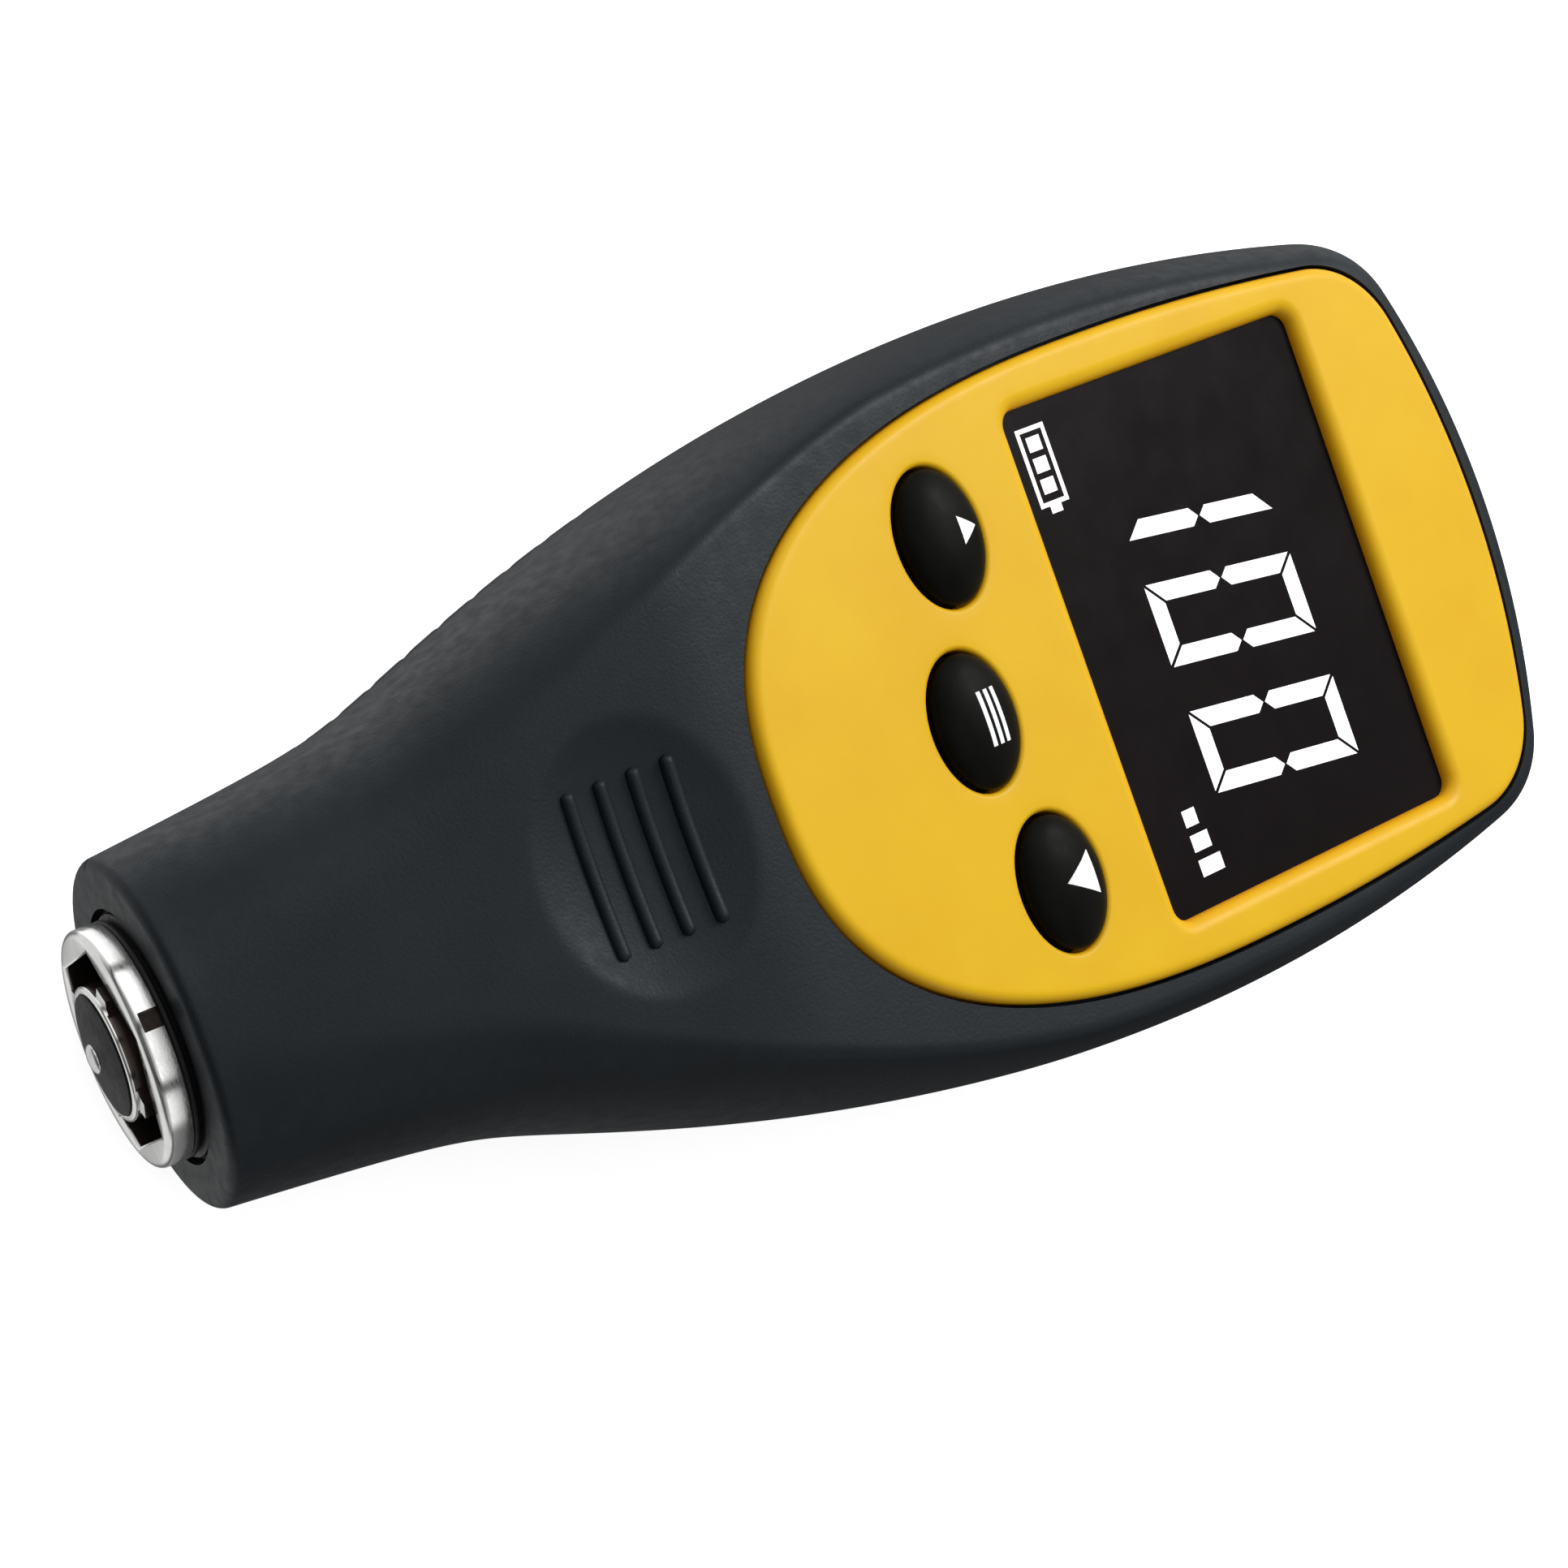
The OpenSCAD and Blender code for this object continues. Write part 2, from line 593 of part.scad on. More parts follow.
// Domed key with the flange that holds it behind the faceplate
module key_cap(i) color([0.09, 0.09, 0.09]) plate_frame() at_key(i) {
    crown = key_up + 0.5;
    rx = (key_w * key_w / 4 + crown * crown) / (2 * crown);
    ry = (key_l * key_l / 4 + crown * crown) / (2 * crown);
    intersection() {
        slab(z_under - key_seat, key_up + 1) key_area(0);
        translate([0, 0, key_up - ry]) rotate([0, 90, 0]) rotate_extrude($fn = 128) intersection() {
            translate([ry - rx, 0]) circle(rx, $fn = 128);
            translate([0, -key_w]) square([2 * ry, 2 * key_w]);
        }
    }
    slab(z_under - key_seat - lip_t, z_under - key_seat) key_area(key_lip);
}

module key_up_cap() key_cap(-1);
module key_menu_cap() key_cap(0);
module key_down_cap() key_cap(1);

module key_dome(i) color([0.8, 0.8, 0.78]) plate_frame() at_key(i)
    slab(z_board, z_board + dome_t) circle(dome_r);
module key_dome_up() key_dome(-1);
module key_dome_menu() key_dome(0);
module key_dome_down() key_dome(1);

module main_board() color([0.1, 0.35, 0.2]) plate_frame() slab(z_back, z_board)
    polygon([[-board_half, board_top], [board_half, board_top], [board_half, -board_step],
        [board_nose, -board_low], [-board_nose, -board_low], [-board_half, -board_step]]);

module processor() color([0.1, 0.1, 0.11]) plate_frame()
    slab(z_back - chip_t, z_back) translate(chip_at) rect(chip_w, chip_w);

module buzzer() color([0.12, 0.12, 0.12]) plate_frame()
    slab(z_back - buzzer_t, z_back) translate(buzzer_at) difference() {
        circle(buzzer_r);
        circle(0.9);
    }

// Probe ring: flange, neck, six-sided opening and guide bore
module probe_ring() color([0.82, 0.82, 0.82]) probe_axis() difference() {
    rotate_extrude($fn = 96) polygon(concat([[sleeve_r + run_gap, 0]],
        [for (a = [0:22.5:90]) [ring_r - ring_round * (1 - sin(a)), ring_round * (1 - cos(a))]],
        [[ring_r, flange_t], [ring_neck_r, flange_t]],
        [[ring_neck_r, ring_len], [sleeve_r + run_gap, ring_len]]));
    slab(-1, mouth_deep) rotate(23) circle(mouth_r / cos(30), $fn = 6);
    rotate([0, 0, -102])
        box(ring_r - slot_deep, ring_r + 1, -slot_w / 2, slot_w / 2, ring_round, flange_t + 1);
}

module nose_seal() color([0.07, 0.07, 0.07]) probe_axis() translate([0, 0, flange_t]) difference() {
    cylinder(r = house_r - 0.35, h = seal_end - flange_t, $fn = 96);
    translate([0, 0, -1]) cylinder(r = ring_neck_r + run_gap, h = seal_end + 1, $fn = 96);
}

module probe_housing() color([0.1, 0.1, 0.1]) probe_axis() difference() {
    translate([0, 0, seal_end]) cylinder(r = house_r, h = house_end - seal_end, $fn = 96);
    translate([0, 0, seal_end - 1])
        cylinder(r = ring_neck_r + run_gap, h = spring_end - seal_end + 1, $fn = 96);
    cylinder(r = 1.1, h = house_end + 1);
}

// Sleeve that presses into the ring, with four ears and a stop collar
module probe_sleeve() color([0.8, 0.8, 0.8]) probe_axis() difference() {
    union() {
        translate([0, 0, sleeve_s]) cylinder(r = sleeve_r, h = spring_s - sleeve_s, $fn = 96);
        translate([0, 0, collar_s]) cylinder(r = collar_r, h = collar_t, $fn = 96);
        for (a = [45:90:315]) rotate([0, 0, a])
            box(core_r + eps, ear_r, -ear_w / 2, ear_w / 2, ear_s, mouth_deep - probe_travel - 0.3);
    }
    translate([0, 0, sleeve_s - 1]) cylinder(r = core_r, h = spring_s - sleeve_s + 2, $fn = 96);
}

// Core with a low dome round the tip and a groove for the coil
module probe_core() color([0.08, 0.08, 0.08]) probe_axis() difference() {
    rotate_extrude($fn = 96) polygon(concat([[tip_r, core_end]],
        [for (i = [0:8]) let (r = tip_r + (core_r - tip_r) * i / 8)
            [r, core_s - core_rise * (1 - pow(r / core_r, 2))]],
        [[core_r, core_end]]));
    difference() {
        translate([0, 0, coil_s]) cylinder(r = coil_out, h = core_end);
        translate([0, 0, coil_s - 1]) cylinder(r = coil_in, h = core_end + 2);
    }
}

module probe_tip() color([0.85, 0.85, 0.83]) probe_axis() rotate_extrude() polygon(concat([[0, core_end]],
    [for (a = [90:-15:0]) [tip_r * cos(a), -stand + tip_show * (1 - sin(a))]], [[tip_r, core_end]]));

module probe_coil() color([0.72, 0.42, 0.2]) probe_axis() translate([0, 0, coil_s]) difference() {
    cylinder(r = coil_out, h = core_end - coil_s - 0.6);
    translate([0, 0, -1]) cylinder(r = coil_in, h = core_end);
}

// Return spring: a round wire swept along a helix
wire_r = 0.35;
coil_r = core_r + 0.1;
turns = 5;
module probe_spring() color([0.7, 0.7, 0.72]) probe_axis() {
    n = turns * 16;
    w = 6;
    z0 = spring_s + wire_r + 0.02;
    z1 = spring_end - wire_r - 0.02;
    pts = [for (i = [0:n]) for (j = [0:w - 1])
        let (a = 360 * turns * i / n, b = 360 * j / w, r = coil_r + wire_r * cos(b))
        [r * cos(a), r * sin(a), z0 + (z1 - z0) * i / n + wire_r * sin(b)]];
    side = [for (i = [0:n - 1]) for (j = [0:w - 1]) let (a = i * w + j, b = i * w + (j + 1) % w)
        each [[a, b, b + w], [a, b + w, a + w]]];
    ends = [[for (j = [w - 1:-1:0]) j], [for (j = [0:w - 1]) n * w + j]];
    polyhedron(pts, concat(side, ends));
}

// Probe lead: from the housing back over the cells to the board
lead_r = 0.9;
bend_r = lead_r + 0.12;
lead = [[spring_end + 0.4, axis_h], [house_end + 2.6, axis_h], [house_end + 8, axis_h + 6.6],
    [disp_s - board_low - 0.9, disp_z + 1.1]];
module lead_run(a, b) {
    l = norm(b - a);
    at_s(a[0], a[1]) rotate([-atan2(b[0] - a[0], b[1] - a[1]), 0, 0]) cylinder(r = lead_r, h = l, $fn = 24);
}
module probe_lead() color([0.08, 0.08, 0.08]) {
    for (i = [0:2]) lead_run(lead[i], lead[i + 1]);
    for (i = [1:2]) at_s(lead[i][0], lead[i][1]) rotate([0, 90, 0])
        cylinder(r = bend_r, h = 2 * bend_r, center = true, $fn = 24);
}

// Cell along Y with its cap toward the probe or toward the head
module cell(x, back) at_s(bay_s + bay_len / 2, cell_z) translate([x, 0, 0]) rotate([0, 0, back ? 180 : 0])
    translate([0, -bay_len / 2 + plate_thick, 0]) rotate([-90, 0, 0]) {
        translate([0, 0, cap_h]) cylinder(r = cell_r, h = cell_len - cap_h);
        cylinder(r = cap_r, h = cap_h + 0.2);
    }
module cell_a() color([0.15, 0.4, 0.3]) cell(-cell_pitch / 2, false);
module cell_b() color([0.15, 0.4, 0.3]) cell(cell_pitch / 2, true);

// Contact plate on a bay wall; the bump reaches the flat end of a cell
module contact(x0, x1, s, dir, bump) at_s(s, 0) {
    box(x0, x1, min(0, dir * plate_thick), max(0, dir * plate_thick),
        cell_z - contact_rise, cell_z + contact_rise);
    translate([bump, 0, cell_z]) rotate([-90 * dir, 0, 0])
        cylinder(r1 = 3, r2 = 1.6, h = plate_thick + cap_h);
}
module contact_pos() color([0.8, 0.78, 0.7]) at_s(bay_s, 0)
    box(-cell_pitch / 2 - contact_half, -cell_pitch / 2 + contact_half, 0, plate_thick,
        cell_z - contact_rise, cell_z + contact_rise);
module contact_neg() color([0.8, 0.78, 0.7])
    contact(cell_pitch / 2 - contact_half, cell_pitch / 2 + contact_half, bay_s, 1, cell_pitch / 2);
module contact_link() color([0.8, 0.78, 0.7])
    contact(-cell_pitch / 2 - contact_half, cell_pitch / 2 + contact_half, bay_end, -1, -cell_pitch / 2);

front_case();
rear_case();
battery_door();
faceplate();
display_lens();
display_panel();
panel_holder();
backlight();
panel_connector();
keypad_frame();
key_up_cap();
key_menu_cap();
key_down_cap();
key_dome_up();
key_dome_menu();
key_dome_down();
main_board();
processor();
buzzer();
probe_ring();
nose_seal();
probe_housing();
probe_sleeve();
probe_core();
probe_tip();
probe_coil();
probe_spring();
probe_lead();
cell_a();
cell_b();
contact_pos();
contact_neg();
contact_link();
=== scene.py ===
import json
import math

import bmesh
import bpy
import numpy as np
from mathutils import Matrix, Vector
from mathutils.geometry import delaunay_2d_cdt


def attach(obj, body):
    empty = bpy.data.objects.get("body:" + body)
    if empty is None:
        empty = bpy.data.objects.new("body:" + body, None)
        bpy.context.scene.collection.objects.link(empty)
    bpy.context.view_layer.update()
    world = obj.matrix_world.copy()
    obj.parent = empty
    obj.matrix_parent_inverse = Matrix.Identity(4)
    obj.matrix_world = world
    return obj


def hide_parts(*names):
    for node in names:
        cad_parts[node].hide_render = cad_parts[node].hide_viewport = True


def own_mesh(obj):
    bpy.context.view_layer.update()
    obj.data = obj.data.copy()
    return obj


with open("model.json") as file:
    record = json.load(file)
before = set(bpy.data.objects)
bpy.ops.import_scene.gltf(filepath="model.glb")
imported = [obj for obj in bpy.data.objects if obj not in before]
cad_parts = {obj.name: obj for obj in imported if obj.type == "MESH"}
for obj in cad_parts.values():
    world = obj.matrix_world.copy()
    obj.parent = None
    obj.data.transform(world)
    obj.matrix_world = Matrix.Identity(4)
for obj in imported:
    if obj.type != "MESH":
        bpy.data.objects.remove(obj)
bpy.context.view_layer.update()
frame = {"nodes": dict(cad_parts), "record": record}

# All sizes below are millimetres in the part's frame; meshes are written in metres.
MM = 0.001

# Body: stations s run from the front of the probe ring toward the head
STAND = 1.6
LEN_TOTAL = 113.3
Y_RING = -LEN_TOTAL / 2 + STAND
HEAD_S = LEN_TOTAL - STAND
WIDE_S = 0.68 * HEAD_S
BODY_W = 51.74
AXIS_H = 11.6
NOSE_W = 23.4
NOSE_FLARE = 0.1
NECK_RISE = 0.09
NECK_R = 130.0
HEAD_R = 125.0
END_R = 56.0
CORNER_R = 7.8
RIM_R = 0.7
CREASE_IN = 2.6
CREASE_SOFT = 0.7
CREASE_A = math.radians(24)
CREASE_FULL_S = 60.0
CREASE_EDGE_S = (10.0, 48.0)
BACK_IN = 8.0
BACK_FULL_S = 40.0
MID_ROOM = 0.6
SPLIT_FALL = 0.032
WALL = 1.8
ROOF = 3.4
FLOOR_T = 3.6
FACE_S = 2.45
HOLLOW_S = 22.0
SIDE_BLEND = 1.72
TOP_BLEND = 0.8
SEAM = 0.14

# Faceplate, window and keys, in the frame of the faceplate
PLATE_TILT = math.radians(10)
DISP_S = HEAD_S - 28.4
DISP_Z = 19.33
PLATE_W = 43.74
PLATE_UP = 25.5
PLATE_DOWN = 41.8
PLATE_MID = -3.9
PLATE_POWER = 2 / 2.55
PLATE_ARC = 190.0
PLATE_BOW = 56.0
PLATE_CORNER = 7.5
PLATE_T = 2.0
PLATE_FILLET = 0.8
# Painted shade: share of a deeper orange painted at the foot of the faceplate's rounded edges
EDGE_SHADE_PAINT = 0.8
PLATE_PROUD = 0.4
PLATE_GAP = 0.24
LEDGE = 1.2
WIN_W = 36.86
WIN_H = 27.95
WIN_DEEP = 1.1
WIN_ROLL = 1.1
ROLL_STEPS = 10
WIN_WALL = 0.1
WIN_CORNER = 1.2
LENS_STEP = 0.7
KEY_W = 9.3
KEY_L = 6.6
KEY_UP = 1.5
KEY_GAP = 0.25
KEY_HOLE_ROUND = 0.4
KEY_LIP = 0.7
KEY_SEAT = 0.3
LIP_T = 0.7
DOME_STEPS = 20
DOME_FOOT = 0.1
KEYS = {"up": (-12.2, -22.6), "menu": (0.0, -25.0), "down": (12.2, -22.6)}

# Thumb dish and its grip ribs
DISH_S = DISP_S - 50.6
DISH_W = 18.2
DISH_L = 14.6
DISH_DEEP = 1.3
DISH_RX = (DISH_W ** 2 / 4 + DISH_DEEP ** 2) / (2 * DISH_DEEP)
DISH_RY = (DISH_L ** 2 / 4 + DISH_DEEP ** 2) / (2 * DISH_DEEP)
DISH_SOFT = 0.07
GRIP_PITCH = 2.32
GRIP_LEN = 11.3
GRIP_R = 0.5
GRIP_BLUNT = 40

# Probe
RING_R = 8.0
MOUTH_R = 6.1
MOUTH_DEEP = 3.2
MOUTH_TURN = math.radians(23)
FLANGE_T = 1.9
RING_ROUND = 0.5
RING_NECK_R = 7.6
RING_LEN = 10.0
SLOT_TURN = math.radians(-102)
SLOT_W = 1.3
SLOT_DEEP = 0.6
SEAL_R = 8.25
SEAL_LEN = 1.25
SLEEVE_R = 4.55
SLEEVE_WALL = 0.5
SLEEVE_UP = 0.6
RUN_GAP = 0.05
COLLAR_S = RING_LEN + 0.2
COLLAR_OUT = 1.25
SPRING_S = RING_LEN + 1.4
SPRING_END = 20.6
SPRING_R = SLEEVE_R - SLEEVE_WALL + 0.1
SPRING_TURNS = 5
WIRE_R = 0.35
BORE_R = 8.65
TIP_R = 1.0
TIP_SHOW = 0.35
COIL_S = 3.0

# Back: battery bay, door, grooves and screws
BAY_S = 34.0
BAY_END = 80.5
BAY_HALF = 11.0
BAY_WALL = 1.2
BAY_TOP = 12.05
DOOR_W = 24.6
DOOR_T = 1.8
DOOR_GAP = 0.25
DOOR_S = 32.4
RAIL = 0.9
RAIL_Z = (0.6, 1.4)
RAIL_S = 38.4
RAIL_END = HEAD_S - 17.7
PULL_S = HEAD_S - 27.7
PULL_PITCH = 2.2
GROOVE_N = 9
GROOVE_PITCH = 3.0
GROOVE_R = 0.8
GROOVE_DEEP = 0.45
GROOVE_S = 19.0
POST_R = 2.6
SHOULDER_POST = (4.3, 10.8)
HEAD_POST = (7.3, 10.0)
SCREW_R = 0.9
HEAD_HOLE_R = 1.9
HEAD_HOLE_TOP = 4.0


# Side line and heights of the body


def soft_max(a, b, k):
    return (a + b + np.sqrt((a - b) ** 2 + k * k)) / 2


def soft_min(a, b, k):
    return (a + b - np.sqrt((a - b) ** 2 + k * k)) / 2


def half_w(s):
    nose = NOSE_W / 2 + NOSE_FLARE * (s - FACE_S)
    neck = BODY_W / 2 - NECK_R + np.sqrt(NECK_R ** 2 - (s - WIDE_S) ** 2)
    return soft_max(neck, nose, SIDE_BLEND)


def split_z(s):
    return AXIS_H - SPLIT_FALL * s


def top_z(s):
    facet = DISP_Z - PLATE_PROUD / math.cos(PLATE_TILT) - (s - DISP_S) * math.tan(PLATE_TILT)
    neck = 2 * AXIS_H + NECK_RISE * (s - FACE_S)
    return soft_min(facet, neck, TOP_BLEND)


def ramp(s, a, b):
    return min(1.0, max(0.0, (s - a) / (b - a)))


def ease(t):
    return t * t * (3 - 2 * t)


# Plan outline: neck stations, then side arc, corner arc and end arc of the head
NECK, SIDE, CORNER, END = range(4)
SIDE_C = np.array([half_w(WIDE_S) - HEAD_R, WIDE_S])
END_C = np.array([0.0, HEAD_S - END_R])


def polar(c, r, a):
    return np.array([c[0] + r * math.cos(a), c[1] + r * math.sin(a)])


def touch(c1, r1, c2, r2, r):
    """Centre and end angles of the corner circle that touches two arcs from inside."""
    a, b, v = r1 - r, r2 - r, c1 - c2
    span = float(np.hypot(*v))
    along = (b * b - a * a + span ** 2) / (2 * span)
    across = math.sqrt(b * b - along * along)
    c = c2 + v * along / span + np.array([v[1], -v[0]]) * across / span
    return c, math.atan2(*(c - c1)[::-1]), math.atan2(*(c - c2)[::-1])


def head_place(kind, share, e):
    rc = CORNER_R ** 2 / (CORNER_R + e)
    c, a0, a1 = touch(SIDE_C, HEAD_R - e, END_C, END_R - e, rc)
    if kind == SIDE:
        return polar(SIDE_C, HEAD_R - e, a0 * share)
    if kind == CORNER:
        return polar(c, rc, a0 + (a1 - a0) * share)
    return polar(END_C, END_R - e, a1 + (math.pi / 2 - a1) * share)


def place(rib, e):
    """Point (x, s) of the outline at a rib, moved in by e."""
    kind, at, rim = rib
    if kind == NECK:
        return np.array([half_w(at) - rim - e, at])
    return head_place(kind, at, e)


def rib_list(first_s, neck_n, head_n, rim_n):
    """Ribs round one half of the outline: (kind, station or share, rim inset)."""
    ribs = []
    for i in range(rim_n):
        a = math.pi / 2 * i / rim_n
        ribs.append((NECK, FACE_S + RIM_R * (1 - math.cos(a)), RIM_R * (1 - math.sin(a))))
    ribs += [(NECK, first_s + (WIDE_S - first_s) * i / neck_n, 0.0) for i in range(neck_n + 1)]
    for kind in (SIDE, CORNER, END):
        ribs += [(kind, (i + 1) / head_n, 0.0) for i in range(head_n)]
    return ribs


def room(rib, w):
    return half_w(rib[1]) - rib[2] - w - MID_ROOM if rib[0] == NECK else math.inf


def along_neck(rib):
    return rib[1] if rib[0] == NECK else math.inf


def up_rib(rib, w, drop, n, soft=0.0):
    """Points from the widest line up to the crease, which may have a small round."""
    s = along_neck(rib)
    fade = (1 - ramp(s, FACE_S, CREASE_FULL_S)) ** 1.3
    d = min(room(rib, w), CREASE_IN + (NOSE_W / 2 - CREASE_IN) * fade)
    a0 = CREASE_A * ease(ramp(s, *CREASE_EDGE_S))
    zs = split_z(place(rib, w)[1])
    zt = top_z(place(rib, w + d)[1]) - drop - rib[2]
    points = []
    for k in range(n + 1):
        a = math.pi / 2 - (math.pi / 2 - a0) * k / n
        e = d * (1 - (math.sin(a) - math.sin(a0)) / (1 - math.sin(a0)))
        x, at = place(rib, w + e)
        points.append((x, at, zs + (zt - zs) * math.cos(a) / math.cos(a0)))
    if not soft:
        return points
    soft = min(soft, 0.5 * points[-1][0]) if rib[0] == NECK else soft
    x, at = place(rib, w + d + soft)
    return round_end(points, (x, at, top_z(at) - drop - rib[2]), soft)


def round_end(points, end, soft, steps=7):
    """Line with its last point replaced by a curve from just before it to the given end."""
    line = np.array(points)
    along = np.concatenate([[0], np.cumsum(np.linalg.norm(np.diff(line, axis=0), axis=1))])
    kept = along * (1 - soft / along[-1])
    out = np.column_stack([np.interp(kept, along, line[:, k]) for k in range(3)])
    curve = [(1 - u) ** 2 * out[-1] + 2 * u * (1 - u) * line[-1] + u * u * np.array(end)
             for u in np.linspace(0, 1, steps + 1)[1:]]
    return [tuple(q) for q in np.vstack([out, curve])]


def down_rib(rib, w, lift, n):
    """Points from the widest line down to the flat back."""
    s = along_neck(rib)
    fade = (1 - ramp(s, FACE_S, BACK_FULL_S)) ** 1.5
    d = min(room(rib, w), BACK_IN + (NOSE_W / 2 - BACK_IN) * fade)
    zs = split_z(place(rib, w)[1])
    zb = lift + rib[2]
    points = []
    for k in range(n + 1):
        a = math.pi / 2 * k / n
        x, at = place(rib, w + d * (1 - math.cos(a)))
        points.append((x, at, zs + (zb - zs) * math.sin(a)))
    return points


def seam_edge(rib, points, way):
    """Adds the fine chamfer of the parting line in front of a rib's first point."""
    x, s = place(rib, SEAM)
    edge = (x, s, points[0][2])
    start = (points[0][0], points[0][1], points[0][2] + way * SEAM)
    return [edge, start] + points[1:]


def dish_drop(x, s):
    """Height of the thumb dish against the top facet, with a soft rim."""
    tilt = math.atan(NECK_RISE)
    y = (s - DISH_S) / math.cos(tilt)
    radius = DISH_RY - DISH_RX + np.sqrt(np.clip(DISH_RX ** 2 - x ** 2, 0, None))
    cut = DISH_RY - DISH_DEEP - np.sqrt(np.clip(radius ** 2 - y ** 2, 0, None))
    return soft_min(cut, 0.0, DISH_SOFT)


# Mesh helpers


def to_frame(points):
    """Body points (x, s, z) to the part's frame."""
    out = np.array(points, float)
    out[:, 1] += Y_RING
    return out


def from_plate(points):
    """Faceplate points to the part's frame."""
    p = np.array(points, float)
    c, s = math.cos(PLATE_TILT), math.sin(PLATE_TILT)
    y = p[:, 1] * c + p[:, 2] * s
    z = -p[:, 1] * s + p[:, 2] * c
    return np.column_stack([p[:, 0], Y_RING + DISP_S + y, DISP_Z + z])


def from_probe(points):
    """Points with z along the probe axis to the part's frame."""
    p = np.array(points, float)
    return np.column_stack([p[:, 0], Y_RING + p[:, 2], AXIS_H - p[:, 1]])


def make_object(name, points, faces, smooth_angle=40.0, attribute=None):
    """Object from points in millimetres; doubled points are joined and faces turned outward."""
    mesh = bpy.data.meshes.new(name)
    mesh.from_pydata((np.asarray(points) * MM).tolist(), [], [list(f) for f in faces])
    if attribute is not None:
        layer = mesh.attributes.new(attribute[0], "FLOAT", "POINT")
        layer.data.foreach_set("value", np.asarray(attribute[1], np.float32))
    bm = bmesh.new()
    bm.from_mesh(mesh)
    bmesh.ops.remove_doubles(bm, verts=bm.verts, dist=1e-8)
    bmesh.ops.dissolve_degenerate(bm, edges=bm.edges, dist=1e-9)
    bmesh.ops.recalc_face_normals(bm, faces=bm.faces)
    bm.to_mesh(mesh)
    bm.free()
    obj = bpy.data.objects.new(name, mesh)
    bpy.context.scene.collection.objects.link(obj)
    smooth(obj, smooth_angle)
    return obj


def smooth(obj, angle):
    obj.data.shade_smooth()
    obj.data.set_sharp_from_angle(angle=math.radians(angle))


def weigh_normals(obj):
    """Large faces keep their normals beside small rounded edges."""
    modifier = obj.modifiers.new("normals", "WEIGHTED_NORMAL")
    modifier.keep_sharp = True
    modifier.weight = 90


def carve(obj, cutters, operation="DIFFERENCE", smooth_angle=40.0):
    """Cuts, joins or trims obj with other closed objects, which are used up."""
    for cutter in cutters:
        modifier = obj.modifiers.new("shape", "BOOLEAN")
        modifier.object = cutter
        modifier.operation = operation
        modifier.solver = "EXACT"
    bpy.context.view_layer.update()
    shaped = obj.evaluated_get(bpy.context.evaluated_depsgraph_get())
    mesh = bpy.data.meshes.new_from_object(shaped)
    obj.modifiers.clear()
    old = obj.data
    obj.data = mesh
    mesh.name = obj.name
    bpy.data.meshes.remove(old)
    for cutter in cutters:
        bpy.data.objects.remove(cutter)
    smooth(obj, smooth_angle)
    return obj


def ring_faces(rows, n, closed=True):
    """Quads between rows of n points each."""
    last = n if closed else n - 1
    return [(j * n + i, j * n + (i + 1) % n, (j + 1) * n + (i + 1) % n, (j + 1) * n + i)
            for j in range(rows - 1) for i in range(last)]


def stack(name, rows, place_points, smooth_angle=40.0):
    """Closed solid through rows of points, capped at both ends."""
    n = len(rows[0])
    points = place_points(np.vstack([np.asarray(r, float) for r in rows]))
    faces = ring_faces(len(rows), n)
    faces.append(tuple(range(n)))
    faces.append(tuple(range((len(rows) - 1) * n, len(rows) * n)))
    return make_object(name, points, faces, smooth_angle)


def with_z(line, z):
    return np.column_stack([line, np.full(len(line), z)])


def prism(name, line, z0, z1, place_points):
    return stack(name, [with_z(line, z0), with_z(line, z1)], place_points)


def rect_line(x0, x1, y0, y1):
    return np.array([(x0, y0), (x1, y0), (x1, y1), (x0, y1)], float)


def box(name, x, s, z):
    return prism(name, rect_line(x[0], x[1], s[0], s[1]), z[0], z[1], to_frame)


def circle_line(r, n, x=0.0, y=0.0):
    a = 2 * math.pi * np.arange(n) / n
    return np.column_stack([x + r * np.cos(a), y + r * np.sin(a)])


def turned(line, a):
    return line @ np.array([(math.cos(a), math.sin(a)), (-math.sin(a), math.cos(a))])


def lathe(name, profile, place_points, n=128, smooth_angle=35.0):
    """Solid of revolution about z through a closed profile of (radius, z)."""
    a = 2 * math.pi * np.arange(n) / n
    points = [(r * math.cos(t), r * math.sin(t), z) for r, z in profile for t in a]
    m = len(profile)
    faces = []
    for j in range(m):
        k = (j + 1) % m
        if profile[j][0] == 0 and profile[k][0] == 0:
            continue
        faces += [(j * n + i, j * n + (i + 1) % n, k * n + (i + 1) % n, k * n + i) for i in range(n)]
    return make_object(name, place_points(points), faces, smooth_angle)


def rounded(profile, radii, steps=5):
    """Profile with an arc at each corner that has a radius."""
    out = []
    m = len(profile)
    for i, r in enumerate(radii):
        p = np.array(profile[i], float)
        if r == 0:
            out.append(tuple(p))
            continue
        a = np.array(profile[i - 1], float) - p
        b = np.array(profile[(i + 1) % m], float) - p
        a /= np.hypot(*a)
        b /= np.hypot(*b)
        half = math.acos(np.clip(a @ b, -1, 1)) / 2
        reach = r / math.tan(half)
        middle = (a + b) / np.hypot(*(a + b))
        c = p + middle * r / math.sin(half)
        t0 = math.atan2(*(p + a * reach - c)[::-1])
        t1 = math.atan2(*(p + b * reach - c)[::-1])
        turn = (t1 - t0 + math.pi) % (2 * math.pi) - math.pi
        for k in range(steps + 1):
            t = t0 + turn * k / steps
            out.append((c[0] + r * math.cos(t), c[1] + r * math.sin(t)))
    return out


def mark_faces(obj, name, test):
    """Face attribute that is 1 where the test of the face centres, in probe places (r, z), holds."""
    mesh = obj.data
    centres = np.empty(len(mesh.polygons) * 3)
    mesh.polygons.foreach_get("center", centres)
    x, y, z = centres.reshape(-1, 3).T / MM
    layer = mesh.attributes.new(name, "FLOAT", "FACE")
    layer.data.foreach_set("value", test(np.hypot(x, z - AXIS_H), y - Y_RING).astype(np.float32))


